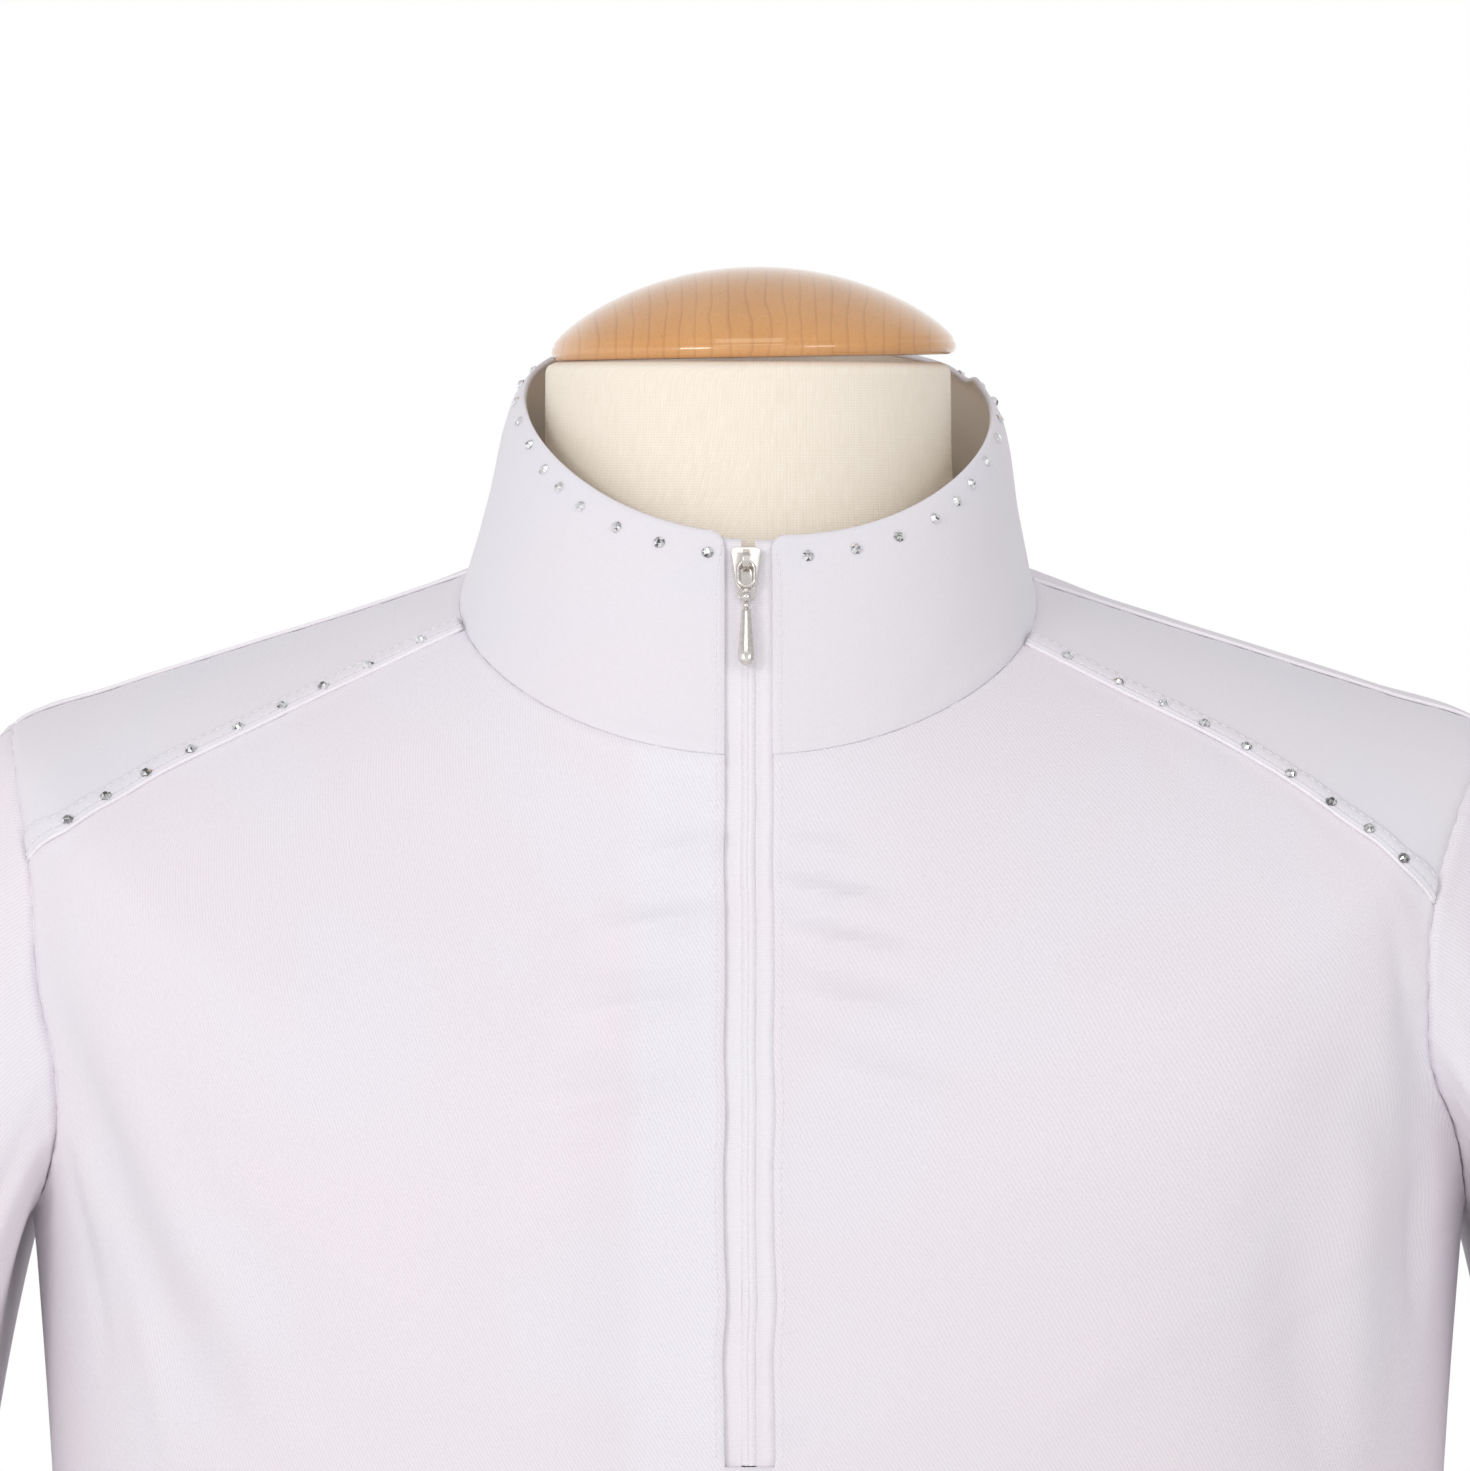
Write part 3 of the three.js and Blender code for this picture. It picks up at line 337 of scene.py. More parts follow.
def grid_of(points, chart, closed=False, keep=None):
    """A bmesh grid whose corners lie at points[column, row], with chart as its UV map in metres.
    closed joins the last column to the first, and keep leaves faces out."""
    columns, rows = points.shape[:2]
    bm = bmesh.new()
    bmesh.ops.create_grid(bm, x_segments=columns - 1, y_segments=rows - 1, size=0.5)
    uv = bm.loops.layers.uv.new(CLOTH_MAP)
    spots = {}
    for vert in bm.verts:
        i = round((vert.co.x + 0.5) * (columns - 1))
        j = round((vert.co.y + 0.5) * (rows - 1))
        spots[vert] = (i, j)
    for face in bm.faces:
        for loop in face.loops:
            loop[uv].uv = chart[spots[loop.vert]] * MM
    if keep is not None:
        gone = [face for face in bm.faces
            if not keep[min(spots[v][0] for v in face.verts), min(spots[v][1] for v in face.verts)]]
    for vert, spot in spots.items():
        vert.co = points[spot]
    if keep is not None:
        bmesh.ops.delete(bm, geom=gone, context="FACES")
    if closed:
        bmesh.ops.remove_doubles(bm, verts=bm.verts, dist=1e-4)
    return bm


def lengths(points, axis):
    """How far along an axis of a grid each point lies."""
    step = np.linalg.norm(np.diff(points, axis=axis), axis=-1)
    start = np.zeros_like(step[:1] if axis == 0 else step[:, :1])
    return np.concatenate([start, np.cumsum(step, axis=axis)], axis=axis)


def chart_of(points):
    return np.stack([lengths(points, 0), lengths(points, 1)], axis=-1)


FORM_TOP_ROUND = 3
FORM_BOTTOM_ROUND = 12
form_angles = np.linspace(0, 360, 145)
form_downs = np.concatenate(
    [np.linspace(-75, -68, 8), np.linspace(-66, 0, 30)[1:], np.linspace(0, 350, 90)[1:],
        np.linspace(350, 745, 70)[1:]])
angle, down = np.meshgrid(form_angles, form_downs, indexing="ij")
points = form_body(angle, down)
# The top of the neck is rounded over, and so is the form's lower edge.
top, bottom = form_body(0, -75.0)[2], form_body(0, 745.0)[2]
for edge, round_by, inward in ((top, FORM_TOP_ROUND, 1), (bottom, FORM_BOTTOM_ROUND, -1)):
    near = np.clip(1 - inward * (edge - points[..., 2]) / round_by, 0, 1)
    pull = round_by * (1 - np.sqrt(1 - near**2))
    middle = np.array([0, -4 if inward > 0 else 0])
    radial = points[..., :2] - middle
    reach = np.linalg.norm(radial, axis=-1, keepdims=True)
    points[..., :2] = middle + radial * (1 - pull[..., None] / reach)
bm = grid_of(points, chart_of(points), closed=True)
rims = [e for e in bm.edges if e.is_boundary]
bmesh.ops.holes_fill(bm, edges=rims, sides=0)
bmesh.ops.recalc_face_normals(bm, faces=bm.faces)

# Cream cotton jersey: matt and knitted, with fine upright wales every 0.9 mm.
jersey, tree, shader = finish_of("jersey_cream_cotton",
    {"Roughness": 0.92, "Sheen Weight": 0.2, "Sheen Roughness": 0.5, "IOR": 1.45})
WALE = 0.9
place = add_node(tree, "UVMap", {"uv_map": CLOTH_MAP})
wales = add_node(tree, "TexWave",
    {"wave_type": "BANDS", "bands_direction": "X", "Scale": WAVE_SCALE / (WALE * MM), "Distortion": 0.6,
        "Detail": 1.0, "Detail Scale": 3.0}, {"Vector": place.outputs[0]})
courses = add_node(tree, "TexWave",
    {"wave_type": "BANDS", "bands_direction": "Y", "Scale": WAVE_SCALE / (0.7 * MM)},
    {"Vector": place.outputs[0]})
loops = add_node(tree, "Math", {"operation": "MULTIPLY"},
    {0: wales.outputs["Fac"], 1: courses.outputs["Fac"]})
drawn = add_node(tree, "Mapping", {"Scale": (1 / (0.9 * MM), 1 / (7 * MM), 1)},
    {"Vector": place.outputs[0]})
slub = add_node(tree, "TexNoise", {"Scale": 1.0, "Detail": 4.0, "Roughness": 0.6},
    {"Vector": drawn.outputs[0]})
mottle = add_node(tree, "Mix", {"data_type": "RGBA", 6: linear("#FFF6EA"), 7: linear("#EADDCB")},
    {0: slub.outputs["Fac"]})
knit = add_node(tree, "Mix", {"data_type": "RGBA", 7: linear("#F0E5D5")},
    {0: loops.outputs[0], 6: mottle.outputs[2]})
tree.links.new(knit.outputs[2], shader.inputs["Base Color"])
relief = add_node(tree, "Bump", {"Strength": 0.5, "Distance": 0.15 * MM}, {"Height": loops.outputs[0]})
tree.links.new(relief.outputs[0], shader.inputs["Normal"])
add_piece(bm, "jersey_form", jersey, "form_jersey", "dress_form")

# ---------------------------------------------------------------- neck cap
# The cap is turned from beech and closes the top of the neck. Its dome runs down to a small
# rounded rim, and it is varnished to a gloss.
cap_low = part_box("neck_cap")[0] / MM
CAP_RADIUS = 56
CAP_RIM = 4.6
CAP_BEAD = 2.2
CAP_DOME = 20.6
CAP_FULLNESS = 0.8
CAP_FOOT = 49.4
CAP_SHOULDER = 0.75
CAP_SEAT = 51  # the radius on which the tilted cap rests
CAP_TILT = math.radians(1)
CAP_SPOT = (1.6, -4, cap_low.z + CAP_SEAT * math.sin(CAP_TILT))
DOME_STEPS = 26
bead_angles = [math.radians(7.5 * i) for i in range(-11, 7)]
dome_angles = [math.radians(90 * i / DOME_STEPS) for i in range(1, DOME_STEPS + 1)]
bead = [(CAP_RADIUS - CAP_BEAD * (1 - math.cos(a)), CAP_RIM / 2 * (1 + math.sin(a))) for a in bead_angles]
dome = [
    ((CAP_RADIUS - CAP_SHOULDER) * math.cos(a), CAP_RIM + CAP_DOME * math.sin(a) ** (2 * CAP_FULLNESS))
    for a in dome_angles]
bm = spun([(0, 0), (CAP_FOOT, 0), *bead, *dome], 144)
bmesh.ops.rotate(bm, matrix=Matrix.Rotation(-CAP_TILT, 3, "Y"), verts=bm.verts)
bmesh.ops.translate(bm, vec=CAP_SPOT, verts=bm.verts)
add_piece(bm, "beech_cap", beech_finish("beech_varnished_cap", 1), "beech", "neck_cap")

# ---------------------------------------------------------------- front
# The front is cut in one piece of white stretch twill, with a slit for the zip, and is sewn to
# the yokes, the collar, the sleeves and the back. Its slit edges are folded under and stitched.
shirt_body = Girths(
    [
        # down, halfWidth, halfDepth, centreY, frontZ, sideZ, backZ, blunt
        [0, 79.5, 83, -13, -38.6, 0, 20, 1.0],
        [28, 107, 93, -10, -60, -8.4, 3, 0.96],
        [66, 142, 105, -8, -86, -17.4, -22, 0.92],
        [104, 178, 117, -7, -112, -27.4, -51, 0.9],
        [135, 203.5, 125, -7, -137, -35.5, -82, 0.88],
        [170, 210, 129, -8, -162, -70, -113, 0.87],
        [215, 205, 132, -8, -192, -122, -155, 0.87],
        [250, 198, 134, -8, -215, -164, -185, 0.88],
        [300, 193, 134, -9, -247, -230, -237, 0.88],
        [350, 190, 132, -11, -290, -285, -286, 0.88],
        [480, 183, 126, -10, -420, -418, -418, 0.88],
        [600, 189, 127, -8, -540, -540, -540, 0.88],
        [700, 194, 129, -7, -640, -640, -640, 0.88],
    ]
)
HEM_DOWN = 700
SLOT_HALF = 6.3
ZIP_END_DOWN = 262
CLOTH = 1.2
MM_PER_DEGREE = 3.1
FOLDS = [
    # angle and down where a fold starts, the same where it ends, its reach and its height
    [-60, 190, -46, 262, 11, -2.8],
    [-50, 178, -36, 268, 13, 2.4],
    [56, 180, 64, 262, 10, -2.4],
    [48, 190, 56, 280, 12, 2.6],
    [40, 205, 50, 290, 12, -2.0],
    [-9, 70, -12, 330, 13, 1.8],
    [-28, 330, -20, 520, 18, 3.0],
    [30, 340, 16, 560, 20, 3.2],
    [70, 330, 58, 560, 20, 3.4],
    [-72, 330, -60, 540, 20, 3.4],
    [150, 230, 165, 520, 18, 3.0],
    [-148, 240, -162, 540, 18, 3.0],
    [118, 250, 124, 560, 18, 3.4],
    [-120, 250, -126, 540, 18, 3.2],
]
# Finer creases, in the same columns: puckers beside the zip, and drags from the armholes.
CREASES = [
    [4, 14, 11, 9, 2.6, -0.8],
    [4, 30, 12, 34, 2.4, 1.5],
    [4, 40, 13, 46, 2.4, -1.4],
    [4, 47, 13, 55, 2.4, 2.7],
    [4, 56, 13, 66, 2.6, -1.6],
    [4, 65, 13, 75, 2.6, 2.4],
    [4, 76, 13, 87, 2.8, -1.4],
    [4, 88, 12, 98, 3.0, 2.2],
    [4, 100, 12, 111, 3.2, -1.2],
    [5, 114, 12, 124, 3.6, 1.9],
    [5, 130, 12, 142, 4.2, -1.0],
    [-4, 20, -12, 26, 3.4, -1.2],
    [-4, 31, -13, 38, 3.4, 2.2],
    [-4, 47, -13, 56, 3.4, -1.5],
    [-4, 58, -13, 68, 3.4, 2.6],
    [-4, 74, -13, 84, 3.8, -1.3],
    [-5, 90, -12, 100, 3.8, 2.1],
    [-5, 104, -13, 114, 4.2, -1.2],
    [-5, 120, -13, 130, 4.2, 2.1],
    [-5, 138, -13, 150, 4.6, -1.0],
    [54, 150, 55, 176, 4.5, -1.1],
    [55, 172, 67, 226, 6, -1.7],
    [50, 168, 59, 224, 7, 1.2],
    [40, 160, 62, 226, 13, -1.4],
    [62, 226, 66, 262, 5, -2.6],
    [-60, 176, -50, 222, 10, -1.5],
    [-62, 215, -60, 270, 4, -1.3],
    [-55, 235, -50, 290, 5, 0.9],
    [-30, 120, -44, 180, 16, 0.8],
    [28, 110, 44, 190, 16, 0.8],
]


def ridge(x, z, length_x, length_z, reach, lift, run_in):
    """A soft ridge along a line from (0, 0), or a hollow where lift is below 0. It starts and ends
    at a share of half a wave."""
    share = np.clip((x * length_x + z * length_z) / (length_x**2 + length_z**2), 0, 1)
    away = np.hypot(x - share * length_x, z - share * length_z)
    return lift * np.sin(np.pi * mix(run_in, 1 - run_in, share)) * np.exp(-((away / reach) ** 2))


def fold_height(angle, down, table):
    """How far a table of folds lifts the cloth."""
    height = np.zeros(np.broadcast(angle, down).shape)
    for angle_0, down_0, angle_1, down_1, reach, lift in table:
        x = (((angle - angle_0) % 360 + 540) % 360 - 180) * MM_PER_DEGREE
        z = down - down_0
        length_x, length_z = (angle_1 - angle_0) * MM_PER_DEGREE, down_1 - down_0
        height += ridge(x, z, length_x, length_z, reach, lift, 0.12)
    return height


def unit(vectors):
    return vectors / np.linalg.norm(vectors, axis=-1, keepdims=True)


def faced(surface, angle_step=0.5, down_step=1.0):
    """A surface that also gives its outward direction, measured over a short step."""

    def look(angle, down):
        across = surface(angle + angle_step, down) - surface(angle - angle_step, down)
        along = surface(angle, down + down_step) - surface(angle, down - down_step)
        return surface(angle, down), unit(np.cross(along, across))

    return look


def draped_body(angle, down):
    point, out = faced(shirt_body)(angle, down)
    return point + out * fold_height(angle, down, FOLDS)[..., None]


on_body = faced(draped_body)


def path(table):
    """A line on the body, from a table of how far along it is, its angle and its down."""
    along, angle, down = np.array(table, float).T
    angle_at, down_at = smooth_curve(along, angle), smooth_curve(along, down)
    return lambda share: (angle_at(share), down_at(share))


# Each armhole turns from the shoulder tip (0) down the front to the underarm (180) and up the
# back, and its angle is counted towards its own side.
TIP_DOWN = 134
UNDERARM_DOWN = 252
BACK_ARMHOLE = [
    [200, 101, 248],
    [220, 111, 235],
    [240, 117, 216],
    [260, 119, 196],
    [280, 118, 176],
    [300, 113, 158],
    [320, 105, 145],
    [340, 97, 137],
    [360, 90, TIP_DOWN],
]
ARMHOLES = {
    1: path(
        [
            [0, 90, TIP_DOWN],
            [20, 74, 134.5],
            [35, 66.5, 140.5],
            [48, 60.4, 151],
            [65, 58.2, 168],
            [80, 58.8, 183],
            [100, 61, 198],
            [120, 65.5, 213],
            [140, 71.5, 229],
            [160, 79.5, 244],
            [180, 90, UNDERARM_DOWN],
            *BACK_ARMHOLE,
        ]
    ),
    -1: path(
        [
            [0, 90, TIP_DOWN],
            [20, 80, 135.5],
            [35, 74.5, 141.5],
            [48, 68, 151],
            [65, 65, 166],
            [80, 64, 183],
            [100, 62.6, 198],
            [120, 63.4, 213],
            [140, 68, 230],
            [160, 77.5, 245],
            [180, 90, UNDERARM_DOWN],
            *BACK_ARMHOLE,
        ]
    ),
}
YOKE_TURN = 48
YOKE_SEAMS = {
    # share of the seam from the collar to the armhole, its angle and its down
    1: path(
        [
            [0, 71, 0],
            [0.2, 68, 32],
            [0.44, 65, 66],
            [0.68, 61, 102],
            [0.78, 59.5, 116],
            [0.89, 58.2, 132],
            [1, 60.4, 151],
        ]
    ),
    -1: path(
        [
            [0, 77.5, 0],
            [0.2, 73.5, 32],
            [0.44, 69.5, 66],
            [0.68, 66.5, 102],
            [0.78, 65, 116],
            [0.88, 64, 130],
            [1, 68, 151],
        ]
    ),
}
SHOULDER_SEAMS = {
    # down of a place on the shoulder seam, and its angle
    1: smooth_curve([0, 20, 50, 80, 110, TIP_DOWN], [102, 101, 97.5, 94, 92, 90]),
    -1: smooth_curve([0, 20, 50, 80, 110, TIP_DOWN], [107, 105.5, 101.5, 97.5, 94.5, 90]),
}


def armhole(side, turn):
    angle, down = ARMHOLES[side](turn)
    return side * angle, down


def yoke_seam(side, share):
    angle, down = YOKE_SEAMS[side](share)
    return side * angle, down


def shoulder_seam(side, down):
    return side * SHOULDER_SEAMS[side](down), down


def patch(left, right, bottom, top, middle=0, rise=lambda v: v):
    """A patch of the body between four edges, blended in distances from the angle middle. left
    and right run upwards, bottom and top run from left to right."""

    def flat(spot):
        angle, down = spot
        return np.stack(np.broadcast_arrays((angle - middle) * shirt_body.halfWidth(down), down))

    ends = [flat(edge(np.array(float(u)))) for edge in (bottom, top) for u in (0, 1)]

    def spot(u, v):
        low_left, low_right, high_left, high_right = (e.reshape(2, 1, 1) for e in ends)
        flat_left, flat_right = flat(left(v)), flat(right(v))
        flat_low, flat_high = flat(bottom(u)), flat(top(u))
        corners = mix(mix(low_left, low_right, u), mix(high_left, high_right, u), rise(v))
        across, down = mix(flat_left, flat_right, u) + mix(flat_low, flat_high, rise(v)) - corners
        return middle + across / shirt_body.halfWidth(down), down

    return spot


UNDER_SHARE = 1 - UNDERARM_DOWN / HEM_DOWN
FRONT_NECK_SHARE = 0.42


def arm_share(v):
    return np.clip((v - UNDER_SHARE) / (1 - UNDER_SHARE), 0, 1)


def side_edge(side, turn):
    """The edge of a panel: the side seam, and above it the armhole up to a turn."""

    def edge(v):
        angle, down = armhole(side, mix(180, turn, arm_share(v)))
        low = v <= UNDER_SHARE
        return np.where(low, side * 90, angle), np.where(low, HEM_DOWN * (1 - v), down)

    return edge


def front_half(side):
    def slot_angle(down):
        return shirt_body.angle_of(side * SLOT_HALF, down)

    def top(u):
        angle, down = yoke_seam(side, np.clip((u - FRONT_NECK_SHARE) / (1 - FRONT_NECK_SHARE), 0, 1))
        neck = u <= FRONT_NECK_SHARE
        along_neck = mix(slot_angle(0.0), yoke_seam(side, 0.0)[0], u / FRONT_NECK_SHARE)
        return np.where(neck, along_neck, angle), np.where(neck, 0, down)

    return patch(left=lambda v: (slot_angle(HEM_DOWN * (1 - v)), HEM_DOWN * (1 - v)),
        right=side_edge(side, YOKE_TURN),
        bottom=lambda u: (mix(slot_angle(float(HEM_DOWN)), side * 90, u), HEM_DOWN + 0 * u), top=top,
        rise=lambda v: arm_share(v) ** 2)


def close_to_ends(count, length, ends=(True, True), fine=(0.3, 0.8, 1.5, 2.6, 4.2)):
    """Shares of a length, evenly spaced, with finer steps in millimetres next to its ends."""
    shares = set(np.linspace(0, 1, count).round(6))
    for step in fine:
        if ends[0]:
            shares.add(round(step / length, 6))
        if ends[1]:
            shares.add(round(1 - step / length, 6))
    return np.array(sorted(shares))


def wander(s, period, seed=0.0):
    """A smooth irregular wave between about -1 and 1."""
    turn = 2 * np.pi * s / period
    return (np.sin(turn + seed) + 0.6 * np.sin(0.617 * turn + 2.3 * seed)
        + 0.5 * np.sin(1.71 * turn + 5)) / 2.1


def seam_relief(away, along, seed=0.0, roll=0.55, puff=0.35, pucker=0.22):
    """The lie of cloth by a seam: it dips into the seam, swells beside it and puckers a little."""
    dip = -roll * np.exp(-((away / 0.8) ** 2))
    swell = puff * np.exp(-(((away - 2.6) / 1.8) ** 2))
    return dip + swell + pucker * np.exp(-away / 5.5) * wander(along, 9, seed)


def stitch_dip(away, at, depth=0.22):
    """The shallow groove that a row of stitches draws in the cloth."""
    return -depth * np.exp(-(((away - at) / 0.55) ** 2))


def turned_up(away, width):
    """The step of a hem, whose second layer ends at a width from the edge."""
    return 0.225 * (1 - np.tanh(away - width))


HEM_STITCHES = (1.5, 4.5)  # how far the two rows lie inside the hem's inner edge
THREAD_RISE = 0.05


def hemmed(away, width):
    """The lie of cloth at a hem: its step, and the dips of its two rows of stitches."""
    return turned_up(away, width) + sum(stitch_dip(away, width - inset) for inset in HEM_STITCHES)


class Panel:
    """A piece of cloth on a grid: its points, the way they face and the way to each edge."""

    def __init__(self, point, out):
        self.point, self.out = point, out
        across, along = lengths(point, 0), lengths(point, 1)
        self.away = {"left": across, "right": across[-1:] - across, "bottom": along,
            "top": along[:, -1:] - along}
        self.across, self.along = across, along

    def lift(self, height):
        self.point = self.point + self.out * height[..., None]

    def row_at(self, edge, distance, part=slice(None)):
        """Points and facings of a row of stitches at a distance from an edge."""
        away = self.away[edge]
        sideways = edge in ("bottom", "top")
        if sideways:
            away, grid = away[part], (self.point[part], self.out[part])
        else:
            away, grid = away.T[part], (self.point.transpose(1, 0, 2)[part],
                self.out.transpose(1, 0, 2)[part])
        flip = -1 if edge in ("right", "top") else 1

        def sample(values):
            return np.stack(
                [[np.interp(distance, a[::flip], v[::flip, k]) for k in range(3)]
                    for a, v in zip(away, values)])

        point, out = sample(grid[0]), unit(sample(grid[1]))
        return point + out * THREAD_RISE, out

    def hem_rows(self, edge, width):
        return [self.row_at(edge, width - inset) for inset in HEM_STITCHES]


def cloth_piece(panel, name, finish, slot, *nodes, thick=CLOTH, closed=False, keep=None, chart=None):
    """A finished sheet: the panel's outer face, with a wall inside it."""
    chart = chart_of(panel.point) if chart is None else chart
    bm = grid_of(panel.point, chart, closed, keep)
    bm.faces.ensure_lookup_table()
    bm.normal_update()
    facing = sum(face.normal.dot(nearest_out(panel, face)) for face in list(bm.faces)[::97])
    if facing < 0:
        bmesh.ops.reverse_faces(bm, faces=bm.faces)
    made = add_piece(bm, name, finish, slot, *nodes)
    wall = made.modifiers.new("wall", "SOLIDIFY")
    wall.thickness = thick * MM
    wall.offset = -1
    return made


def nearest_out(panel, face):
    at = np.array(face.calc_center_median())
    gap = np.linalg.norm(panel.point - at, axis=-1)
    return Vector(panel.out[np.unravel_index(gap.argmin(), gap.shape)])


# White stretch twill: fine matt polyester, woven with diagonal ribs every 1.0 mm, a little
# coarser than the real 0.7 mm so that they show, and faintly mottled.
TWILL = 1.0


def woven_finish(name, light, shade, rib, turn, depth, roughness, sheen, band=None):
    """A woven cloth with ribs of a spacing in millimetres, turned by an angle in degrees. band is
    where a facing shows through, from and to in millimetres across, and its colour."""
    made, tree, shader = finish_of(name,
        {"Roughness": roughness, "Sheen Weight": sheen, "Sheen Roughness": 0.4, "IOR": 1.45})
    place = add_node(tree, "UVMap", {"uv_map": CLOTH_MAP})
    turned = add_node(tree, "Mapping", {"Rotation": (0, 0, math.radians(turn))},
        {"Vector": place.outputs[0]})
    ribs = add_node(tree, "TexWave",
        {"wave_type": "BANDS", "bands_direction": "X", "Scale": WAVE_SCALE / (rib * MM),
            "Distortion": 2.4, "Detail": 2.0, "Detail Scale": 2.5, "Detail Roughness": 0.75},
        {"Vector": turned.outputs[0]})
    threads = add_node(tree, "TexWave",
        {"wave_type": "BANDS", "bands_direction": "Y", "Scale": WAVE_SCALE / (0.62 * rib * MM),
            "Distortion": 2.0, "Detail": 1.0}, {"Vector": place.outputs[0]})
    weave = add_node(tree, "Mix", {"data_type": "FLOAT", 0: 0.35},
        {2: ribs.outputs["Fac"], 3: threads.outputs["Fac"]})
    fuzz = add_node(tree, "TexNoise", {"Scale": 900.0, "Detail": 3.0, "Roughness": 0.65},
        {"Vector": place.outputs[0]})
    tufts = add_node(tree, "Mix", {"data_type": "FLOAT", 0: 0.5},
        {2: weave.outputs[0], 3: fuzz.outputs["Fac"]})
    cloud = add_node(tree, "TexNoise", {"Scale": 14.0, "Detail": 2.0, "Roughness": 0.5},
        {"Vector": place.outputs[0]})
    clouded = add_node(tree, "MapRange", {"From Min": 0.38, "From Max": 0.64},
        {"Value": cloud.outputs["Fac"]})
    tint = add_node(tree, "Mix", {"data_type": "RGBA", 6: linear(light), 7: linear(shade[0])},
        {0: clouded.outputs[0]})
    if band:
        start, end, facing = band
        across = add_node(tree, "SeparateXYZ", links={0: place.outputs[0]})
        inside = [
            add_node(tree, "MapRange",
                {"interpolation_type": "SMOOTHSTEP", "From Min": (edge - soft) * MM,
                    "From Max": (edge + soft) * MM}, {"Value": across.outputs["X"]})
            for edge, soft in ((start, 5.0), (end, -1.0))]
        both = add_node(tree, "Math", {"operation": "MULTIPLY"},
            {i: edge.outputs[0] for i, edge in enumerate(inside)})
        tint = add_node(tree, "Mix", {"data_type": "RGBA", 7: linear(facing)},
            {0: both.outputs[0], 6: tint.outputs[2]})
    darker = add_node(tree, "MapRange", {"From Min": 0.62, "From Max": 0.2, "To Max": 0.6},
        {"Value": tufts.outputs[0]})
    colour = add_node(tree, "Mix", {"data_type": "RGBA", 7: linear(shade[1])},
        {0: darker.outputs[0], 6: tint.outputs[2]})
    tree.links.new(colour.outputs[2], shader.inputs["Base Color"])
    relief = add_node(tree, "Bump", {"Strength": 0.7, "Distance": depth * MM},
        {"Height": tufts.outputs[0]})
    tree.links.new(relief.outputs[0], shader.inputs["Normal"])
    return made


TWILL_LOOK = ("#EBE4EA", ("#E9E5EC", "#D6CFD6"), TWILL, -22, 0.10, 0.82, 0.15)
twill = woven_finish("twill_white_polyester", *TWILL_LOOK)
# Left of the slit a woven facing behind the front shows through, a little cooler.
FACING = (-31, -7.5, "#EBE8EF")
faced_twill = woven_finish("twill_white_polyester_faced", *TWILL_LOOK, band=FACING)

FRONT_HALF = 290  # about half the front's width
SHRUNK_REACH = 9  # how far from the slit its edges waver
half = close_to_ends(78, FRONT_HALF)
front_columns = np.concatenate([-1 - half[::-1], [0], 1 + half])
slit_top = 1 - ZIP_END_DOWN / HEM_DOWN
front_rows = np.concatenate(
    [slit_top * close_to_ends(96, HEM_DOWN * slit_top, (True, False)),
        mix(slit_top, UNDER_SHARE, np.linspace(0, 1, 4))[1:-1],
        mix(UNDER_SHARE, 1, close_to_ends(92, 250, (False, True)))])
u, v = np.meshgrid(front_columns, front_rows, indexing="ij")
angle, down = np.empty(u.shape), np.empty(u.shape)
for side in (-1, 1):
    own = u * side >= 1
    columns = own[:, 0]
    angle[columns], down[columns] = front_half(side)(abs(u[columns]) - 1, v[columns])
middle_column = np.abs(u[:, 0]) < 1
down[middle_column] = HEM_DOWN * (1 - v[middle_column])
angle[middle_column] = 0


def waver(down):
    """How the slit and the zip wander sideways, where the tape has shrunk."""
    return wander(down, 62, 1.0) * np.clip(down / 30, 0, 1)


edge_wave = 0.35 * waver(down) * (down < ZIP_END_DOWN)
near_slit = np.exp(-np.abs(np.abs(u) - 1) * FRONT_HALF / SHRUNK_REACH) * (np.abs(u) >= 1)
angle = angle + edge_wave * near_slit / MM_PER_DEGREE
front = Panel(*on_body(angle, down))
slit_left, slit_right = len(half) - 1, len(half) + 1
across = front.across
from_slit = np.where(u <= -1, across[slit_left] - across,
    np.where(u >= 1, across - across[slit_right], 0))
open_part = 0.5 * (1 - np.tanh((down - ZIP_END_DOWN) / 4))
HEM_WIDTH = 20
SLIT_STITCH = 2.4
sides = np.minimum(front.away["left"], front.away["right"])
height = fold_height(angle, down, CREASES) * (1 - np.exp(-((sides / 6) ** 2)))
height += 0.22 * wander(across, 47, 0.7) * wander(down, 71, 2.1)
height += open_part * seam_relief(from_slit, down, 1.0, roll=0.3, puff=0.25, pucker=0.3)
height += open_part * stitch_dip(from_slit, SLIT_STITCH)
height += seam_relief(sides, down, 2.0, roll=0.25, puff=0.35, pucker=0.3)
height += seam_relief(front.away["top"], across, 3.0, roll=0.2, puff=0.3, pucker=0.14)
height += hemmed(front.away["bottom"], HEM_WIDTH)
front.lift(height)
keep = ~((np.abs(front_columns[:-1, None] + 0.0001) < 1.0002) & (front_rows[None, :-1] > slit_top - 1e-6))
from_middle = np.where(u < 0, -from_slit, from_slit) + SLOT_HALF * np.clip(u, -1, 1)
front_chart = np.stack([from_middle, HEM_DOWN - down], axis=-1)
front_cloth = cloth_piece(front, "twill_front", faced_twill, "shirt_twill", "front", keep=keep,
    chart=front_chart)


def speckled(name, settings, scale, detail, light, dark):
    """A finish whose colour wanders between two tones, and its tree, shader and specks."""
    made, tree, shader = finish_of(name, settings)
    place = add_node(tree, "TexCoord")
    specks = add_node(tree, "TexNoise", {"Scale": scale, "Detail": detail},
        {"Vector": place.outputs["Object"]})
    tone = add_node(tree, "Mix", {"data_type": "RGBA", 6: linear(light), 7: linear(dark)},
        {0: specks.outputs["Fac"]})
    tree.links.new(tone.outputs[2], shader.inputs["Base Color"])
    return made, tree, shader, specks


